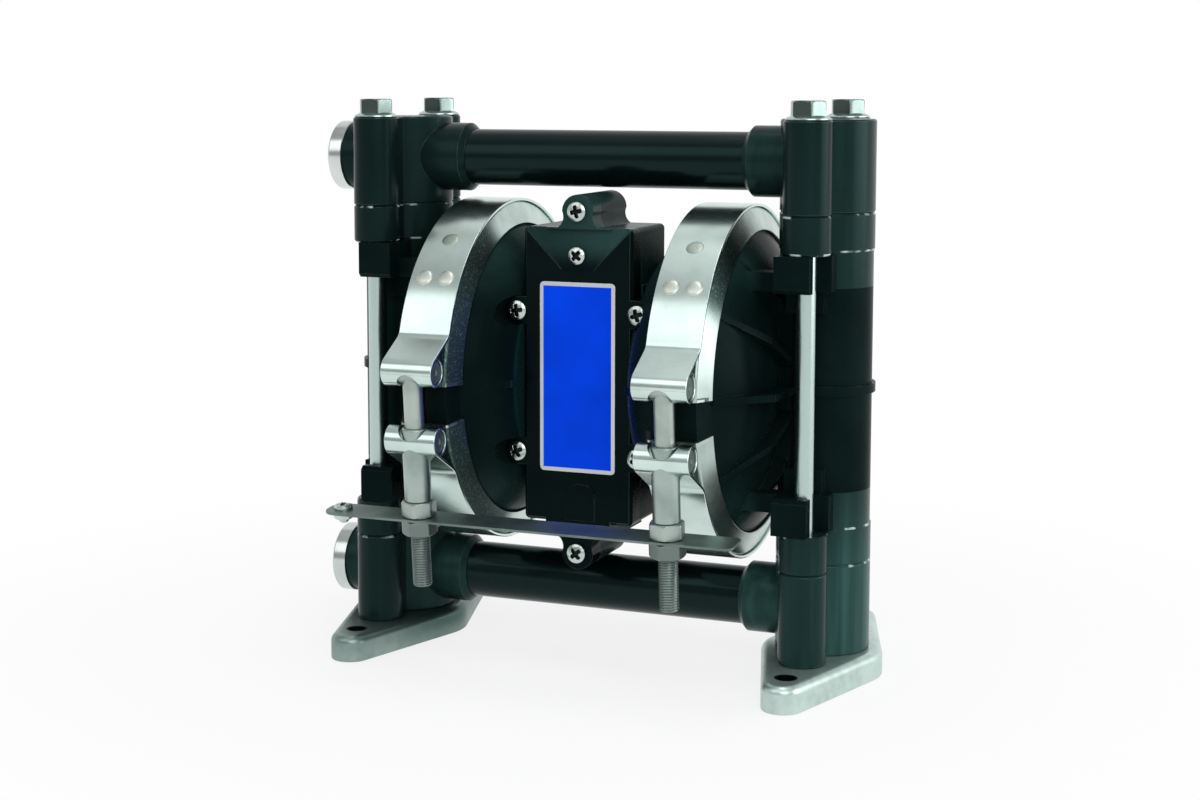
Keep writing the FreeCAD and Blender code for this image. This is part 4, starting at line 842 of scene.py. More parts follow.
class Finishes:
    """All finishes of the pump, each made once; edges that turn more than rounded_past degrees get rounded."""

    rounded_past = 28.0

    def __init__(self) -> None:
        recipes = {
            "column": ColumnPlastic(
                "column_polymer", (0.0026, 0.0082, 0.0078), (0.0044, 0.0125, 0.0118), 0.24, sheen=0.12),
            "housing": HousingPlastic(
                "housing_polymer", (0.0024, 0.0070, 0.0068), (0.0042, 0.0115, 0.0110), 0.27, 0.00003, 0.025),
            "cover": CoverPlastic(
                "cover_polymer", (0.0014, 0.0038, 0.0040), (0.0024, 0.0058, 0.0058), 0.28, 0.00004, 0.06),
            "tube": MouldedPlastic(
                "tube_polymer", (0.0014, 0.0044, 0.0046), (0.0026, 0.0070, 0.0072), 0.21, 0.00001, 0.20),
            # Glossier plastic for the rounded edges; its paler base colour is a painted edge highlight.
            "edge": MouldedPlastic(
                "edge_polymer", (0.0050, 0.0140, 0.0130), (0.0080, 0.0200, 0.0185), 0.17, 0.00001, 0.90, (0.75, 1.0,
                0.97)),
            "strap": BrushedMetal(
                "strap_stainless", (0.655, 0.785, 0.745), (0.57, 0.69, 0.655), 0.21, (0.04, 7.0, 7.0), 0.000003, 0.07),
            "retainer": RetainerMetal(
                "retainer_stainless", (0.56, 0.67, 0.635), (0.42, 0.51, 0.48), 0.28, (0.6, 0.6, 5.0), 0.000014, 0.16),
            "bolt": BoltMetal(
                "tie_bolt_zinc", (0.31, 0.395, 0.375), (0.22, 0.29, 0.275), 0.25, (5.0, 0.12, 3.0), 0.000004, 0.10),
            "pin": ClampSteel(
                "clamp_pin_steel", (0.40, 0.48, 0.45), (0.28, 0.35, 0.33), 0.33, (5.0, 0.12, 3.0), 0.000006, 0.12),
            "clamp_bolt": ClampSteel(
                "clamp_bolt_steel", (0.44, 0.51, 0.47), (0.32, 0.38, 0.355), 0.38, (5.0, 0.15, 3.0), 0.000006, 0.12),
            "strip": BrushedMetal(
                "strip_plated", (0.21, 0.27, 0.25), (0.13, 0.18, 0.165), 0.46, (0.3, 4.0, 4.0), 0.000008, 0.12),
            "ring": BrushedMetal(
                "ring_stainless", (0.66, 0.71, 0.69), (0.56, 0.61, 0.59), 0.20, (0.03, 12.0, 12.0), 0.000006, 0.10),
            "screw": ScrewMetal(
                "screw_stainless", (0.58, 0.66, 0.62), (0.46, 0.53, 0.50), 0.24, (1.0, 1.0, 4.0), 0.000005, 0.10),
            "rivet": BrushedMetal(
                "rivet_stainless", (0.66, 0.71, 0.65), (0.58, 0.63, 0.57), 0.42, (1.0, 1.0, 1.0), 0.000004, 0.10),
            "weld": BrushedMetal(
                "weld_mark", (0.40, 0.47, 0.41), (0.30, 0.36, 0.31), 0.40, (1.0, 1.0, 1.0), 0.000006, 0.16),
            "shaft": BrushedMetal(
                "shaft_ground", (0.60, 0.62, 0.61), (0.52, 0.54, 0.53), 0.14, (0.03, 10.0, 10.0), 0.000002, 0.06),
            "foot": CastMetal("foot_casting", (0.56, 0.69, 0.65), (0.43, 0.54, 0.505), 0.36),
            "label": LabelFilm("label_film", 0.0164, (MID_Z + 41.1) * MM, (MID_Z - 36.3) * MM, 0.0017),
            "rubber": SoftFinish("rubber_black", (0.012, 0.014, 0.014), (0.022, 0.024, 0.024), 0.62),
            "white": SoftFinish(
                "polymer_natural", (0.74, 0.74, 0.70), (0.66, 0.66, 0.61), 0.42, 900.0, 0.00003),
            "plate": SoftFinish("plate_polymer", (0.030, 0.032, 0.032), (0.045, 0.047, 0.047), 0.48),
            "muffler": SoftFinish(
                "muffler_porous", (0.030, 0.033, 0.032), (0.075, 0.080, 0.078), 0.78, 520.0, 0.00035)}
        self.made = {key: recipe.make() for key, recipe in recipes.items()}

    def show(self, skin: Skin, slot: str, node: str, finish: str, crease: float = 40.0) -> None:
        """Turn a skin into a piece of the pump's frame and give it its finish.

        Args:
            skin: the piece's patches.
            slot: material slot of the record.
            node: CAD node that it stands for.
            finish: name of the finish.
            crease: angle past which an edge stays sharp.
        """
        skin.build(FIXED, slot, [node], crease).data.materials.append(self.made[finish])

    def dress_node(self, node: str, finish: str) -> bpy.types.Object:
        """Give a CAD node its finish in the object's own slot."""
        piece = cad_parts[node]
        if not piece.material_slots:
            piece.data.materials.append(self.made[finish])
        for slot in piece.material_slots:
            slot.material = self.made[finish]
        return piece

    def soften_node(self, node: str, finish: str, radius: float, segments: int = 3) -> None:
        """Dress a CAD node and round its edges with live modifiers.

        Its loose triangles are joined, flat faces made whole, edges rounded, and the normals evened. The
        rounded edges take the finish of plastic that handling has polished.

        Args:
            node: CAD node.
            finish: name of the finish.
            radius: width of the rounding.
            segments: faces across a rounding.
        """
        piece = self.dress_node(node, finish)
        piece.data.materials.append(self.made["edge"])
        modify(piece, "join", "WELD", merge_threshold=MERGE_REACH)
        modify(piece, "flat", "DECIMATE", decimate_type="DISSOLVE", angle_limit=math.radians(0.5))
        modify(piece, "edges", "BEVEL", width=radius * MM, segments=segments, limit_method="ANGLE",
               angle_limit=math.radians(self.rounded_past), miter_outer="MITER_ARC",
               material=len(piece.material_slots) - 1)
        modify(piece, "even_normals", "WEIGHTED_NORMAL", keep_sharp=True)
        log.info("%s: edges rounded by %.2f mm", node, radius)


def hexagon_radius(angle: Array, across: float) -> Array:
    """Distance of a hexagon's side at an angle: half its width over cos of the angle past the side's middle."""
    sixth = math.pi / 3
    past = np.mod(angle + sixth / 2, sixth) - sixth / 2
    side = across / 2 / np.cos(past)
    corner_share, sharpness = 0.988, 60.0
    corner = across / math.sqrt(3) * corner_share
    sharp = sharpness / across
    return -np.log(np.exp(-sharp * side) + np.exp(-sharp * corner * np.ones_like(side))) / sharp


def hex_solid(skin: Skin, across: float, low: float, high: float, place: Place, bore: float = 0.0,
              low_chamfer: bool = True, dish: float = 0.0, turn: float = 0.0) -> None:
    """A hexagonal head or nut: the smaller of the hexagon's radius and a 30 degree cone at each end.

    Args:
        skin: where its patches go.
        across: width across the flats.
        low: lower level along w.
        high: upper level.
        place: frame whose w is the axis.
        bore: radius of its hole, or 0.
        low_chamfer: whether the lower corners are cut.
        dish: how far the middle of the top lies below its rim.
        turn: degrees by which the hexagon is turned.
    """
    angle = np.linspace(0.0, 2 * math.pi, 96, endpoint=False)
    around = np.stack([np.cos(angle + math.radians(turn)), np.sin(angle + math.radians(turn))], axis=-1)
    reach = hexagon_radius(angle, across)
    chamfer_share, bevel_share = 0.075, 0.95
    ramp = chamfer_share * across * np.array([0.0, 0.12, 0.3, 0.55, 1.0])
    levels = np.concatenate([low + ramp, high - ramp[::-1]])
    flat_radius = across / 2 * bevel_share
    # How far each flat faces front left, which places the painted shade on one flat of the tie bolts' heads.
    facing = np.cos(np.round(angle / (math.pi / 3)) * math.pi / 3 + math.radians(turn + 96.0)) - 3.0

    def ring(radius: float | Array, level: float) -> Array:
        """A row of points at a level, at one radius or at one for each angle."""
        return np.column_stack([around * np.reshape(radius, (-1, 1)), np.full(len(angle), level)])

    def kinds(before: int, after: int) -> Array:
        """Grain coordinates: angle, height, and how far a flat faces front left; -4 off the flats."""
        along = angle * TURNED_GRAIN
        plain = np.column_stack([along, np.zeros_like(angle), np.full_like(angle, -4.0)])
        sides = [np.column_stack([along, np.full_like(angle, level), facing]) for level in levels]
        return np.array([plain] * before + sides + [plain] * after)

    rows = []
    for level in levels:
        cone = flat_radius + (high - level) * math.sqrt(3)
        if low_chamfer:
            cone = min(cone, flat_radius + (level - low) * math.sqrt(3))
        rows.append(ring(np.minimum(reach, cone), level))
    if bore > 0:
        lead = 0.4
        rows += [ring(bore + lead, high), ring(bore, high - lead), ring(bore, low + lead), ring(bore + lead, low)]
        skin.grid(place.put(np.array(rows)), wrap_u=True, wrap_v=True, flow=kinds(0, 4))
    else:
        centre = 0.001
        top = [ring(flat_radius * 0.86, high - dish * 0.1), ring(flat_radius * 0.80, high - dish),
               ring(centre, high - dish)]
        skin.grid(place.put(np.array([ring(centre, low)] + rows + top)), wrap_v=True, flow=kinds(1, 3))


def threaded(skin: Skin, radius: float, low: float, high: float, pitch: float, place: Place, depth: float,
             tip: float = 0.6) -> None:
    """Screwed end of a bolt: radius less depth times a rounded saw of (height / pitch - turn).

    Args:
        skin: where its patches go.
        radius: outer radius.
        low: level of the tip.
        high: level where the thread runs out.
        pitch: rise of one turn.
        place: frame whose w is the axis.
        depth: depth of the thread.
        tip: length of the tip's chamfer.
    """
    steps, rows_per_turn, saw_power, tip_slope = 40, 7, 1.3, 0.8
    angle = np.linspace(0.0, 2 * math.pi, steps, endpoint=False)[None, :]
    level = np.linspace(low, high, int((high - low) / pitch * rows_per_turn))[:, None]
    phase = np.mod(level / pitch - angle / (2 * math.pi), 1.0)
    cut = depth * np.abs(2 * phase - 1) ** saw_power
    run_out = np.clip((high - level) / (1.5 * pitch), 0.0, 1.0)
    lead = np.clip((level - low) / tip, 0.0, 1.0)
    turned = np.minimum(radius - cut * run_out, radius - tip * tip_slope + tip * tip_slope * lead)
    points = np.stack([turned * np.cos(angle), turned * np.sin(angle), level + 0 * angle], axis=-1)
    flow = np.stack([angle * TURNED_GRAIN + 0 * level, level + 0 * angle, turned], axis=-1)
    skin.grid(place.put(points), wrap_v=True, flow=flow)
    skin.cap(place.put(points[0]))
    skin.cap(place.put(points[-1]))


@dataclass
class Strap:
    """Polished band of a clamp with its flares, notched loops, rivets and weld dimple, in clamp frame."""

    side: Side
    radius: float = STRAP_RADIUS - STRAP_THICKNESS / 2
    thickness: float = STRAP_THICKNESS
    width: float = 22.0
    leave_height: float = 27.0
    loop_radius: float = LOOP_RADIUS - STRAP_THICKNESS / 2
    top_notch: float = 9.4
    low_notch: float = 11.8
    kink: float = 2.5
    loop_steps: int = 64
    edge: float = 0.32
    dot_radius: float = 3.5
    rivet_across: float = 4.7
    rivet_angle: float = 42.0
    rivet_height: float = 1.1
    weld_angle: float = 58.0
    weld_height: float = 0.4

    def half_path(self, loop_w: float) -> Array:
        """One half of the strap's middle line, drawn upwards, from the loop's inner end over the top to the rear.

        The loop is an arc about its pin, the flare its tangent, and the band an arc about the shaft; a
        parabola rounds the bend where the flare leaves the band.
        """
        leave = math.asin(self.leave_height / self.radius)
        start = self.radius * np.array([-math.cos(leave), math.sin(leave)])
        to = np.array([BOLT_V, loop_w]) - start
        gap = float(np.linalg.norm(to))
        heading = math.atan2(to[1], to[0]) - math.asin(self.loop_radius / gap)
        reach = math.sqrt(gap ** 2 - self.loop_radius ** 2)
        touch = start + reach * np.array([math.cos(heading), math.sin(heading)])
        angle = math.degrees(math.atan2(touch[1] - loop_w, touch[0] - BOLT_V))
        loop = arc((BOLT_V, loop_w), self.loop_radius, angle + 318.0, angle, self.loop_steps)
        near = start - self.kink * np.array([math.cos(heading + math.pi), math.sin(heading + math.pi)])
        bend_angle = 180.0 - math.degrees(leave + self.kink / self.radius)
        beyond = arc((0.0, 0.0), self.radius, bend_angle, 0.0, 200)
        t = np.linspace(0.0, 1.0, 12)[:, None]
        bend = (1 - t) ** 2 * near + 2 * t * (1 - t) * start + t ** 2 * beyond[0]
        flare = touch + np.linspace(0.0, 1.0, 10)[:, None] * (near - touch)
        return np.vstack([loop, flare[1:], bend[1:], beyond[1:]])

    def section(self, inner: float, outer: float) -> Array:
        """Rectangle between two distances from the strap's middle, its edges rounded."""
        half = self.thickness / 2
        corners = [(inner, -half), (outer, -half), (outer, half), (inner, half)]
        return rounded(corners, self.edge, 4)

    def build(self, finishes: Finishes) -> None:
        """The strap as one skin: full band, and two ears on each loop beside the notch."""
        skin = Skin("strap_" + self.side.word)
        place = clamp_place(self.side)
        half = self.width / 2
        down = np.array([1.0, -1.0])
        upper, lower = self.half_path(LOOP_UP), self.half_path(LOOP_DOWN) * down
        ear_count = self.loop_steps - 13
        path = np.vstack([upper[ear_count - 1:], lower[ear_count - 1:][::-1][1:]])
        skin.sweep(path, lambda _: self.section(-half, half), place)
        for whole, notch in ((upper, self.top_notch), (lower, self.low_notch)):
            ears = whole[:ear_count]
            total = float(np.linalg.norm(np.diff(ears, axis=0), axis=1).sum())
            for hand in (-1.0, 1.0):
                def ear(run: float, hand: float = hand, notch: float = notch, total: float = total) -> Array:
                    """An ear between the notch's edge, rounded at its root, and the strap's edge."""
                    ahead = min(max((total - run) / (notch * 0.55), 0.0), 1.0)
                    inner = notch / 2 * math.sqrt(1 - (1 - ahead) ** 2) + 0.02
                    pair = sorted((hand * inner, hand * half))
                    return self.section(pair[0], pair[1])
                skin.sweep(ears, ear, place)
        finishes.show(skin, "strap_steel", "clamp_strap_" + self.side.word, "strap")

    def rivets(self, finishes: Finishes, others: Sequence["Strap"]) -> None:
        """Domed rivet pair and shallow weld dimple on both straps."""
        skin, welds = Skin("strap_rivet_heads"), Skin("strap_weld_marks")
        radius, seat = self.dot_radius, STRAP_RADIUS - SEAT_GAP
        dots = [(hand * self.rivet_across, self.rivet_angle, self.rivet_height) for hand in (-1.0, 1.0)]
        dots.append((0.0, self.weld_angle, self.weld_height))
        for strap in (self, *others):
            clamp = clamp_place(strap.side)
            axes = Place((0, 0, 0), clamp.u, clamp.v, clamp.w)
            for across, angle, height in dots:
                t = math.radians(angle)
                out = np.array([0.0, -math.cos(t), math.sin(t)])
                up = np.array([0.0, math.sin(t), math.cos(t)])
                origin = clamp.put(np.array([across, out[1] * seat, out[2] * seat]))
                place = Place(tuple(origin), (1.0, 0.0, 0.0), tuple(axes.put(up)), tuple(axes.put(out)))
                a = np.linspace(0.0, math.pi / 2, 12)
                dome = np.column_stack([height * np.sin(a), radius * np.cos(a) ** 0.8])
                dome[-1, 1] = 0.0
                flange = np.array([[-0.3, 0.0], [-0.3, radius], [0.0, radius + 0.02]])
                (welds if across == 0.0 else skin).lathe(np.vstack([flange, dome]), place, 40)
        finishes.show(welds, "strap_steel", "strap_rivets", "weld")
        finishes.show(skin, "strap_steel", "strap_rivets", "rivet")


@dataclass
class Retainers:
    """Two half rings of wedge section under a strap, in clamp frame."""

    side: Side
    outer: float = STRAP_RADIUS - STRAP_THICKNESS - SEAT_GAP
    web: float = 1.5
    wall: float = 1.7
    leg: float = 61.5
    front_gap: float = 8.0
    rear_gap: float = 4.0
    edges: tuple[float, ...] = (1.6, 1.6, 0.5, 0.5, 0.8, 0.8, 0.5, 0.5)

    def flank(self, radius: float) -> float:
        """Half width of the flanges' wedge at a radius, with the clearance of the clamp."""
        return WEDGE_HALF_WIDTH + WEDGE_SLOPE * (RIM_RADIUS - radius) + WEDGE_GAP

    def build(self, finishes: Finishes) -> None:
        """Both half rings as one skin, each swept between its gaps."""
        skin = Skin("retainers_" + self.side.word)
        inner = self.outer - self.web
        crown, root, leg = (self.flank(radius) for radius in (self.outer, inner, self.leg))
        corners = [(-crown - self.wall, self.outer), (crown + self.wall, self.outer), (leg + self.wall, self.leg),
                   (leg, self.leg), (root, inner), (-root, inner), (-leg, self.leg), (-leg - self.wall, self.leg)]
        shape = rounded(corners, self.edges, 5)
        across, radius = shape[:, 0], shape[:, 1]
        front = math.degrees(math.asin(self.front_gap / STRAP_RADIUS))
        back = math.degrees(math.asin(self.rear_gap / STRAP_RADIUS))
        place = clamp_place(self.side)
        for sign in (1.0, -1.0):
            angle = np.radians(np.linspace(180.0 - front, back, 100))[:, None] * sign
            rows = np.stack([across + 0 * angle, np.cos(angle) * radius, np.sin(angle) * radius], axis=-1)
            flow = np.stack([angle * RING_GRAIN + 0 * across, across + 0 * angle, radius + 0 * angle], axis=-1)
            skin.grid(place.put(rows), wrap_v=True, flow=flow)
            skin.cap(place.put(rows[0]))
            skin.cap(place.put(rows[-1]))
        finishes.show(skin, "strap_steel", "clamp_retainers_" + self.side.word, "retainer")


@dataclass
class ClampBolt:
    """T-bolt, trunnion and nuts that close a clamp, in clamp frame."""

    side: Side
    pin_radius: float = LOOP_RADIUS - STRAP_THICKNESS - SEAT_GAP
    pin_length: float = 20.6
    rod_end: float = -72.0
    sleeve_radius: float = 5.4
    nut_across: float = 12.7
    lock_height: float = 6.5
    strip: float = 1.0
    thread_pitch: float = 1.06
    thread_depth: float = 0.42
    hidden_shank: float = 4.0

    def upright(self) -> Place:
        """Frame on the bolt's axis."""
        return clamp_place(self.side).shifted(v=BOLT_V)

    def cross_pin(self, skin: Skin, level: float) -> None:
        """A pin along X with rounded ends and a centre dimple in each."""
        upright = self.upright().shifted(w=level)
        place = Place(upright.origin, upright.v, upright.w, upright.u)
        half, r = self.pin_length / 2, self.pin_radius
        end = [(half - 0.5, 0.0), (half - 0.5, 1.0), (half, 1.5), (half, r - 0.9), (half - 0.25, r - 0.3),
               (half - 0.9, r)]
        profile = np.array([(-a, b) for a, b in end] + [(a, b) for a, b in end[::-1]])
        skin.lathe(profile, place, 40)

    def bolt(self, finishes: Finishes) -> None:
        """The T-bolt: cross pin, plain shank and threaded end."""
        skin = Skin("t_bolt_" + self.side.word + "_piece")
        self.cross_pin(skin, LOOP_UP)
        place = self.upright()
        join = SLEEVE_END + self.hidden_shank
        shank = np.array([(LOOP_UP, 0.0), (LOOP_UP, ROD_RADIUS), (join, ROD_RADIUS), (join, 0.0)])
        skin.lathe(shank[::-1], place, 40)
        threaded(skin, ROD_RADIUS, self.rod_end, join + 0.2, self.thread_pitch, place, self.thread_depth)
        finishes.show(skin, "clamp_bolt_steel", "t_bolt_" + self.side.word, "clamp_bolt", 30.0)

    def trunnion(self, skin: Skin) -> None:
        """Cross pin in the lower loop with its sleeve and the sleeve's rolled lip."""
        self.cross_pin(skin, -LOOP_DOWN)
        place = self.upright()
        r, bore = self.sleeve_radius, ROD_RADIUS + BORE_GAP
        top, low = -LOOP_DOWN + self.pin_radius + 0.9, SLEEVE_END
        profile = np.array([(low, bore), (low, r - 0.35), (low + 0.35, r), (top - 0.8, r), (top - 0.25, r - 0.3),
                            (top, r - 0.8), (top, bore + 0.2), (top - 0.2, bore)])
        skin.lathe(profile, place, 48, closed=True)

    def nuts(self, skin: Skin) -> None:
        """Jam nut on the strip and lock nut under it."""
        place = self.upright()
        bore = ROD_RADIUS + BORE_GAP
        hex_solid(skin, self.nut_across, SLEEVE_END - JAM_HEIGHT, SLEEVE_END - 0.02, place, bore, turn=8.0)
        low = SLEEVE_END - JAM_HEIGHT - self.strip
        hex_solid(skin, self.nut_across, low - self.lock_height, low, place, bore, turn=-6.0)


@dataclass
class EarthingStrip:
    """Flat strip on both clamp bolts, with its screw and nut at the left end, in clamp frame."""

    left: float = -93.0
    right: float = 80.0
    width: float = 14.4
    thickness: float = 1.0
    top: float = SLEEVE_END - JAM_HEIGHT
    screw_inset: float = 6.5

    def build(self, finishes: Finishes) -> None:
        """The strip with its bolt and screw holes, and the screw."""
        place = clamp_place(Side.RIGHT).shifted(u=-CLAMP_X)
        half = self.width / 2
        v0, v1 = BOLT_V - half, BOLT_V + half
        outline = rounded([(self.left, v0), (self.right, v0), (self.right, v1), (self.left, v1)],
                          (half * 0.8, half * 0.4, half * 0.4, half * 0.8), 12)
        outline = evenly(outline, 1.2)
        holes = [circle((x, BOLT_V), ROD_RADIUS + 0.1, 24) for x in (-CLAMP_X, CLAMP_X)]
        holes.append(circle((self.left + self.screw_inset, BOLT_V), 2.1, 24))
        skin = Skin("earthing_strip_plate")
        skin.slab(outline, self.top - self.thickness, self.top, place, 0.25, 0.25, holes, 0.12, 3)
        finishes.show(skin, "strip_steel", "earthing_strip", "strip")
        screw = Skin("earthing_screw")
        at_screw = place.shifted(u=self.left + self.screw_inset, v=BOLT_V)
        pan_screw(screw, 3.8, 2.2, 2.0, 5.5, at_screw.shifted(w=self.top))
        hex_solid(screw, 7.0, self.top - self.thickness - 3.0, self.top - self.thickness, at_screw, 2.05)
        finishes.show(screw, "screw_steel", "strip_screw", "screw")


def pan_screw(skin: Skin, radius: float, height: float, shank: float, length: float, place: Place,
              turn: float = 20.0) -> None:
    """Domed head with a cross recess and a plain shank, its seat at the frame's origin and w outwards.

    The head's height at radius r is h(1 - 0.38 (r/R)^2.4) within the rim; the recess takes away a depth that
    falls off smoothly outside each bar of the cross and towards the cross's ends.

    Args:
        skin: where its patches go.
        radius: radius of the head.
        height: height of the head.
        shank: radius of the shank.
        length: length of the shank.
        place: the frame.
        turn: degrees by which the cross is turned.
    """
    rings = np.concatenate([np.linspace(0.0, 0.72, 34), np.linspace(0.75, 0.97, 7)])
    angle = np.linspace(0.0, 2 * math.pi, 96, endpoint=False)[None, :]
    r = (rings * radius)[:, None]
    x, y = r * np.cos(angle), r * np.sin(angle)
    dome = height * (1 - 0.38 * rings[:, None] ** 2.4) + 0 * angle
    c, s = math.cos(math.radians(turn)), math.sin(math.radians(turn))
    a, b = np.abs(x * c + y * s), np.abs(-x * s + y * c)

    def bar(beside: Array, ahead: Array) -> Array:
        """1 in one bar of the cross, falling off beside it and past its end."""
        return (np.clip(1 - (beside - radius * 0.11) / 0.45, 0.0, 1.0)
                * np.clip(1 - (ahead - radius * 0.52) / 0.6, 0.0, 1.0))

    arms = np.maximum(bar(a, b), bar(b, a))
    top = np.stack([x, y, dome - arms * height * 0.40], axis=-1)
    rim = [(radius * 0.993, height * 0.50), (radius, height * 0.38), (radius, 0.12), (radius - 0.12, 0.0),
           (shank, 0.0), (shank, -length + 0.4), (shank - 0.4, -length), (0.0, -length)]
    around = np.stack([np.cos(angle[0]), np.sin(angle[0])], axis=-1)
    lower = np.array([np.column_stack([around * a, np.full(len(around), b)]) for a, b in rim])
    flow = np.concatenate([np.stack([x, y, arms], axis=-1), lower * np.array([1.0, 1.0, 0.0])])
    skin.grid(place.put(np.concatenate([top, lower])), wrap_v=True, flow=flow)


@dataclass
class Column:
    """A tie-bolted column with its foot, seen from its own side."""

    side: Side
    foot_height: float = 11.0
    half_length: float = 65.0
    half_width: float = 24.5
    tip_radius: float = 8.3
    edge: float = 3.5
    hole_radius: float = 4.1
    tie_hole_radius: float = 4.3
    hole_y: float = 52.0
    tie_y: float = 30.0
    seat: float = 224.0
    rod_radius: float = 3.9
    rod_end: float = 1.5
    thread_top: float = 30.0
    thread_pitch: float = 1.25
    thread_depth: float = 0.5
    across: float = 13.0
    nut_top: float = 8.0

    def place(self) -> Place:
        """Frame on the column's axis, at the floor."""
        return Place((self.side.value * COLUMN_X, 0.0, 0.0))

    def foot(self, finishes: Finishes) -> None:
        """Cast foot: the hull of a round middle and two rounded tips, with its top edge rolled over."""
        reach = self.half_length - self.tip_radius
        lean = math.degrees(math.asin((self.half_width - self.tip_radius) / reach))
        outline = np.vstack([
            arc((0.0, 0.0), self.half_width, -lean, lean, 16),
            arc((0.0, reach), self.tip_radius, lean, 180.0 - lean, 22),
            arc((0.0, 0.0), self.half_width, 180.0 - lean, 180.0 + lean, 16),
            arc((0.0, -reach), self.tip_radius, 180.0 + lean, 360.0 - lean, 22)])
        outline = evenly(outline, 1.4)
        holes = [circle((0.0, sign * self.hole_y), self.hole_radius, 36) for sign in (-1.0, 1.0)]
        holes += [circle((0.0, sign * self.tie_y), self.tie_hole_radius, 24) for sign in (-1.0, 1.0)]
        skin = Skin("foot_casting_" + self.side.word)
        skin.slab(outline, 0.0, self.foot_height, self.place(), 0.6, self.edge, holes, 0.5, 8)
        finishes.show(skin, "cast_aluminium", "foot_" + self.side.word, "foot", 50.0)

    def tie_bolts(self, skin: Skin) -> None:
        """Two flanged bolts of this column: threaded foot end, long shank, flange and hex head."""
        extra = 4.0 - 5.0 * self.side.value
        s, rod = self.seat, self.rod_radius
        for sign, turn in ((-1.0, 24.0 + extra), (1.0, 20.0 + extra)):
            place = self.place().shifted(v=sign * self.tie_y)
            threaded(skin, rod, self.rod_end, self.thread_top, self.thread_pitch, place, self.thread_depth)
            join = self.thread_top - 0.5
            skin.lathe(np.array([(join, 0.0), (join, rod), (s, rod), (s, 0.0)]), place, 40)
            flange = np.array([(s, 0.0), (s, 8.75), (s + 0.25, 8.95), (s + 0.65, 8.9), (s + 1.0, 8.4),
                               (s + 1.75, 6.9), (s + 1.95, 6.2), (s + 1.95, 0.0)])
            skin.lathe(flange, place, 64)
            hex_solid(skin, self.across, s + 1.0, s + 7.5, place, low_chamfer=False, dish=0.35, turn=turn)

    def tie_nuts(self, skin: Skin) -> None:
        """Two nuts in the recesses under the foot."""
        for sign in (-1.0, 1.0):
            place = self.place().shifted(v=sign * self.tie_y)
            hex_solid(skin, self.across, self.rod_end, self.nut_top, place, self.rod_radius + SEAT_GAP, turn=30.0)


@dataclass
class ManifoldTube:
    """Level tube between the columns, with seal grooves hidden in its sockets."""

    level: Level
    radius: float = 11.8
    wall: float = 3.0
    half: float = 72.7
    groove: float = 65.0
    groove_half: float = 0.95
    groove_depth: float = 1.7

    def build(self, finishes: Finishes) -> None:
        """The tube, turned about its axis, its ends chamfered."""
        skin = Skin(self.level.word + "_manifold_tube")
        place = manifold_place(self.level, 1.0)
        r, bore, h = self.radius, self.radius - self.wall, self.half
        near, far, floor = self.groove - self.groove_half, self.groove + self.groove_half, r - self.groove_depth
        right = [(near, r), (near, floor), (far, floor), (far, r), (h - 0.6, r), (h, r - 0.6), (h, bore)]
        plain = np.linspace(-self.groove + 3.0, self.groove - 3.0, 24)
        profile = [(-a, b) for a, b in right[::-1]] + [(a, r) for a in plain] + right
        skin.lathe(np.array(profile), place, 96, closed=True)
        finishes.show(skin, "black_polymer", self.level.word + "_tube", "tube")


@dataclass
class PortRing:
    """Metal ring round a port's mouth on the left end."""

    level: Level
    radius: float = 14.9
    wall: float = 2.95
    length: float = 6.6
    face_x: float = 118.2

    def add_to(self, skin: Skin) -> None:
        """The ring turned about the port's axis, with chamfered rims and a shallow turned step."""
        place = manifold_place(self.level, -1.0)
        a, b, r, bore = self.face_x, self.face_x + self.length, self.radius, self.radius - self.wall
        profile = np.array([(a, bore), (a, r - 0.3), (a + 0.3, r), (b - 1.0, r), (b - 0.55, r - 0.12),
                            (b - 0.12, r - 0.55), (b, r - 0.9), (b, bore + 0.3), (b - 0.3, bore)])
        skin.lathe(profile, place, 96, closed=True)


@dataclass
class Muffler:
    """Exhaust silencer on the rear port: ribbed can with a hex root and a domed end."""

    height: float = -20.0
    rear: float = 38.0
    radius: float = 10.5
    length: float = 30.0
    stem: float = 7.25
    stem_length: float = 11.0
    first_groove: float = 6.5
    groove_depth: float = 0.55
    groove_pitch: float = 2.8
    crown: float = 3.0

    def build(self, finishes: Finishes) -> None:
        """The can turned about its axis: a row of shallow grooves, then the domed end."""
        skin = Skin("muffler_can")
        place = Place((0.0, 0.0, MID_Z + self.height), (1.0, 0.0, 0.0), (0.0, 0.0, -1.0), (0.0, 1.0, 0.0))
        rear, end, r = self.rear, self.rear + self.length, self.radius
        stem_end, crown = rear - self.stem_length, self.crown
        along = np.linspace(rear + self.first_groove, end - 4.0, 70)
        wave = np.sin((along - rear - self.first_groove) * 2 * math.pi / self.groove_pitch)
        ribs = r - self.groove_depth * np.clip(wave * 3, 0.0, 1.0)
        dome = arc((end - crown, 0.0), 1.0, 0.0, 90.0, 8)[::-1]
        dome_rows = [(end - crown + crown * (p[0] - (end - crown)), (r - crown) + crown * p[1]) for p in dome]
        profile = np.vstack([[(stem_end, 0.0), (stem_end, self.stem - 0.6), (stem_end + 0.6, self.stem),
                              (rear, self.stem), (rear, r - 0.5), (rear + 0.5, r), (rear + 6.0, r)],
                             np.column_stack([along, ribs]), [(end - 3.4, r)], dome_rows, [(end, 0.0)]])
        skin.lathe(profile, place, 80)
        finishes.show(skin, "muffler_polymer", "muffler", "muffler")


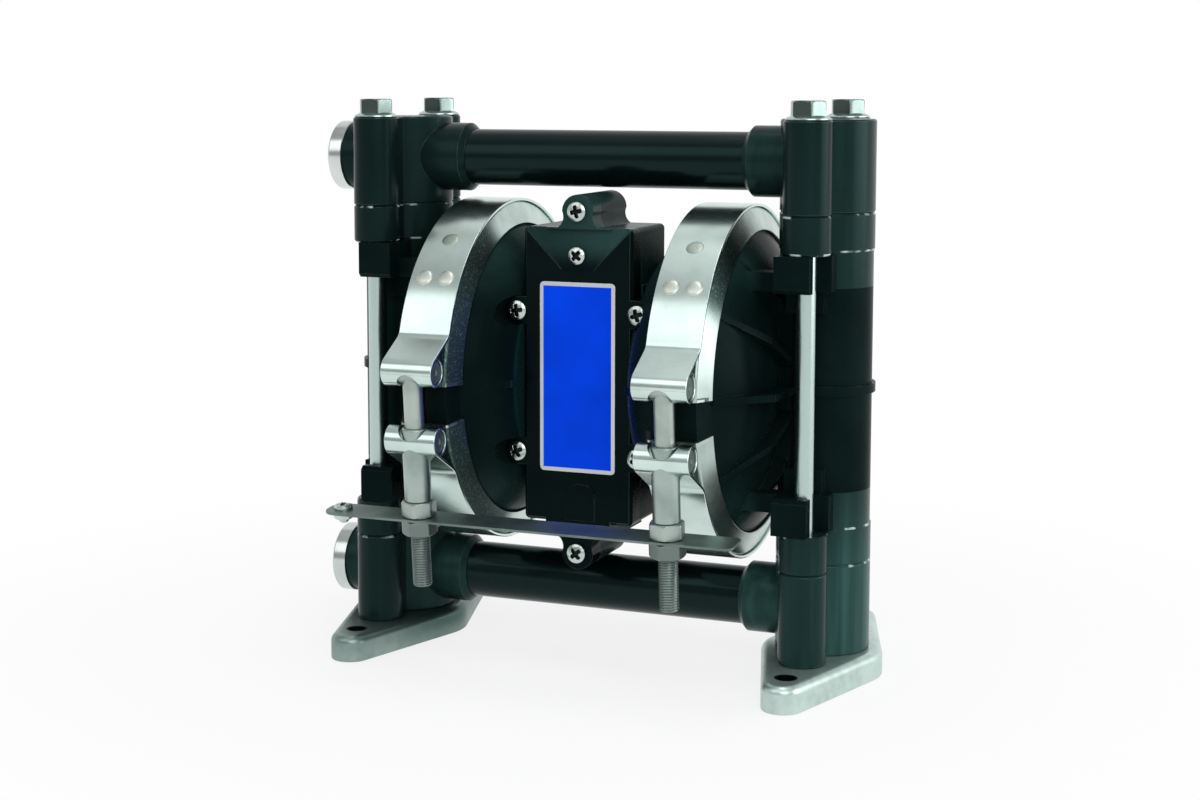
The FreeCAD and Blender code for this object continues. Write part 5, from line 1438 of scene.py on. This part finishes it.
@dataclass
class ValveFront:
    """Screws and label plate on the front of the air valve cover."""

    front: float = -35.4
    lobe: float = 69.5
    ear_x: float = 25.9
    ear_height: float = 28.9
    label_half: float = 16.4
    label_top: float = 41.1
    label_bottom: float = -36.3
    label_thickness: float = 0.6
    screw_radius: float = 4.0
    screw_height: float = 2.8
    screw_shank: float = 2.0
    earth_radius: float = 3.6
    earth_height: float = 51.8

    def facing(self, x: float, height: float, y: float) -> Place:
        """Frame on the front, w towards the viewer."""
        return Place((x, y, MID_Z + height), (1.0, 0.0, 0.0), (0.0, 0.0, 1.0), (0.0, -1.0, 0.0))

    def screws(self, finishes: Finishes) -> None:
        """Six cover screws and the small round one above the label."""
        skin = Skin("cover_screw_set")
        turns = iter((12.0, 40.0, 25.0, 8.0, 33.0, 18.0))
        places = [(0.0, self.lobe), (0.0, -self.lobe)]
        places += [(a * self.ear_x, b * self.ear_height) for a in (-1.0, 1.0) for b in (-1.0, 1.0)]
        for x, height in places:
            pan_screw(skin, self.screw_radius, self.screw_height, self.screw_shank, 20.0,
                      self.facing(x, height, self.front), next(turns))
        finishes.show(skin, "screw_steel", "cover_screws", "screw")
        low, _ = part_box("earth_screw")
        small = Skin("label_side_screw")
        seat = self.facing(0.0, self.earth_height, low.y / MM + self.screw_height)
        pan_screw(small, self.earth_radius, self.screw_height, self.screw_shank, 4.7, seat, 50.0)
        finishes.show(small, "screw_steel", "earth_screw", "screw")

    def label(self, finishes: Finishes) -> None:
        """The bare label plate with softly rolled edges."""
        skin = Skin("label_sheet")
        w, a, b = self.label_half, self.label_bottom, self.label_top
        outline = evenly(rounded([(-w, a), (w, a), (w, b), (-w, b)], 1.8, 8), 1.0)
        skin.slab(outline, 0.0, self.label_thickness, self.facing(0.0, 0.0, self.front), 0.05, 0.3)
        finishes.show(skin, "label_blue", "label_plate", "label")


class Studio:
    """Floor, lamps, surroundings and the photograph's camera.

    Places and sizes of the camera and the lamps are in metres. The floor hides its paint behind plain white
    by a share that grows from shadow_veil to 1 between two distances from the pump.
    """

    camera_at = (0.30566, -0.79280, 0.23936)
    azimuth = 22.47
    pitch = 6.01
    lens = 61.379
    shift = (0.0332, -0.0873)
    floor_radius = 6000.0
    floor_level = -0.2
    shadow_near = 0.10
    shadow_far = 0.42
    shadow_veil = 0.80

    def camera(self) -> None:
        """Camera at the place and angle found from the photograph."""
        data = bpy.data.cameras.new("photo_view")
        data.lens = self.lens
        data.sensor_width = 36.0
        data.sensor_fit = "HORIZONTAL"
        data.shift_x, data.shift_y = self.shift
        data.clip_start, data.clip_end = 0.05, 30.0
        camera = add_object("photo_view", data)
        camera.location = self.camera_at
        camera.rotation_euler = (math.radians(90.0 - self.pitch), 0.0, math.radians(self.azimuth))
        bpy.context.scene.camera = camera

    def floor(self) -> None:
        """A wide pale floor, white to the camera and in reflections, that keeps the pump's shadow."""
        ring = circle((0.0, 0.0), self.floor_radius, 60)
        points = np.column_stack([ring, np.full(len(ring), self.floor_level)]) * MM
        mesh = bpy.data.meshes.new("studio_floor")
        mesh.from_pydata(points.tolist(), [], [list(range(len(ring)))])
        piece = add_object("studio_floor", mesh)
        material = bpy.data.materials.new("floor_white")
        g = Graph(material)
        x, y, _ = g.parts(g.place())
        away = (x * x + y * y).power(0.5)
        cover = g.seen() * away.between(self.shadow_near, self.shadow_far, self.shadow_veil, 1.0)
        paint = g.node("ShaderNodeBsdfDiffuse", {}, {"Color": (0.86, 0.87, 0.87, 1.0)})
        white = g.node("ShaderNodeEmission", {}, {"Strength": 1.0})
        g.finish("ShaderNodeOutputMaterial", g.node("ShaderNodeMixShader", {}, {0: cover, 1: paint, 2: white}))
        piece.data.materials.append(material)

    def lamp(self, name: str, place: Sequence[float], target: Sequence[float], size: tuple[float, float],
             watts: float, roll: float = 0.0) -> None:
        """A soft box that faces a target, rolled by some degrees about its own axis."""
        data = bpy.data.lights.new(name, "AREA")
        data.shape = "RECTANGLE"
        data.size, data.size_y = size
        data.energy = watts
        lamp = add_object(name, data)
        facing = (Vector(place) - Vector(target)).to_track_quat("Z", "Y").to_matrix().to_4x4()
        lamp.matrix_world = Matrix.Translation(Vector(place)) @ facing @ Matrix.Rotation(math.radians(roll), 4, "Z")

    def surroundings(self) -> None:
        """A world that is white to the camera and a soft grey room to light and reflections."""
        world = bpy.data.worlds.new("studio")
        g = Graph(world)
        x, y, z = g.parts(g.node("ShaderNodeTexCoord", {}, {}, "Generated"))
        ahead = math.radians(self.azimuth)
        toward = x * math.sin(ahead) - y * math.cos(ahead)
        front = toward.between(-0.25, 0.45)
        left = (x * -math.cos(ahead) - y * math.sin(ahead)).between(-0.2, 0.8)
        back = (toward * -1.0).between(0.30, 0.55, 0.0, 0.85)
        wall = (z.between(0.30, 0.72, 1.0, 0.40) * (left * -0.18 + 1.0)).most(back)
        dusk = z.between(0.02, 0.40, 0.34, 0.48)
        room = front * dusk + (1.0 - front) * wall + z.between(0.82, 0.97, 0.0, 0.42)
        level = g.node("ShaderNodeLightPath", {}, {}, "Is Camera Ray")
        strength = level + (1.0 - level) * room
        light = g.node("ShaderNodeBackground", {}, {"Color": (1.0, 1.0, 1.0, 1.0), "Strength": strength})
        g.finish("ShaderNodeOutputWorld", light)
        bpy.context.scene.world = world

    def build(self) -> None:
        """All of the studio."""
        self.camera()
        self.floor()
        self.surroundings()
        target = (0.0, 0.0, 0.11)
        self.lamp("key_box", (-0.536, -1.120, 1.036), (0.034, -0.147, 0.046), (1.2, 0.81), 3.25, 32.0)
        self.lamp("fill_box", (0.75, -1.15, 0.75), target, (1.0, 0.9), 6.5)
        self.lamp("right_box", (1.38, 0.243, 0.45), target, (1.0, 0.8), 7.0)
        self.lamp("rim_box", (0.09, -0.10, 1.45), (0.02, -0.02, 0.15), (0.2, 1.0), 2.5)
        bpy.context.scene.view_settings.view_transform = "Standard"


def dress_housings(finishes: Finishes) -> None:
    """Moulded bodies whose CAD shape stays: finish and rounded edges."""
    for side in Side:
        finishes.soften_node("fluid_cover_" + side.word, "housing", 0.9)
        finishes.soften_node("air_cover_" + side.word, "housing", 0.7)
        for level in Level:
            finishes.soften_node(f"{level.word}_check_housing_{side.word}", "column", 0.6)
    for level in Level:
        finishes.soften_node(level.word + "_elbow", "column", 1.0, segments=4)
        finishes.soften_node(level.word + "_tee", "column", 1.0, segments=4)
    finishes.soften_node("centre_housing", "housing", 0.8)
    finishes.soften_node("valve_cover", "cover", 0.7)
    finishes.dress_node("valve_gasket", "rubber")


def dress_inner_parts(finishes: Finishes) -> None:
    """Finishes of the pieces inside, which show only when the pump is taken apart."""
    groups = {
        "white": ["valve_seats", "outlet_ball_left", "outlet_ball_right", "inlet_ball_left", "inlet_ball_right",
                  "valve_plate", "valve_block", "valve_carriage", "actuator_pistons", "actuator_bearings",
                  "pilot_bushes", "shaft_bushes"],
        "rubber": ["tube_seals", "seat_seals", "shaft_seals", "diaphragm_left", "diaphragm_right"],
        "plate": ["inner_plates", "outer_plates"],
        "shaft": ["diaphragm_bolts", "diaphragm_shaft", "pilot_rod"]}
    for finish, nodes in groups.items():
        for node in nodes:
            finishes.dress_node(node, finish)
    log.info("inner parts dressed")


def main() -> None:
    """Build the scene in order and keep its boxes."""
    logging.basicConfig(level=logging.INFO, format="%(message)s")
    finishes = Finishes()
    dress_housings(finishes)
    dress_inner_parts(finishes)
    straps = [Strap(side) for side in Side]
    for strap in straps:
        strap.build(finishes)
        Retainers(strap.side).build(finishes)
        ClampBolt(strap.side).bolt(finishes)
    straps[0].rivets(finishes, straps[1:])
    pins, nuts = Skin("clamp_trunnion_pair"), Skin("clamp_nut_set")
    for side in Side:
        ClampBolt(side).trunnion(pins)
        ClampBolt(side).nuts(nuts)
    finishes.show(pins, "clamp_bolt_steel", "clamp_trunnions", "pin")
    finishes.show(nuts, "clamp_bolt_steel", "clamp_nuts", "clamp_bolt", 25.0)
    EarthingStrip().build(finishes)
    bolts, tie_nuts, rings = Skin("tie_bolt_set"), Skin("tie_nut_set"), Skin("port_ring_pair")
    for side in Side:
        column = Column(side)
        column.foot(finishes)
        column.tie_bolts(bolts)
        column.tie_nuts(tie_nuts)
    for level in Level:
        ManifoldTube(level).build(finishes)
        PortRing(level).add_to(rings)
    finishes.show(bolts, "bolt_steel", "tie_bolts", "bolt", 25.0)
    finishes.show(tie_nuts, "bolt_steel", "tie_nuts", "bolt", 25.0)
    finishes.show(rings, "stainless_ring", "port_rings", "ring")
    Muffler().build(finishes)
    front = ValveFront()
    front.screws(finishes)
    front.label(finishes)
    Studio().build()


if __name__ == "__main__":
    main()
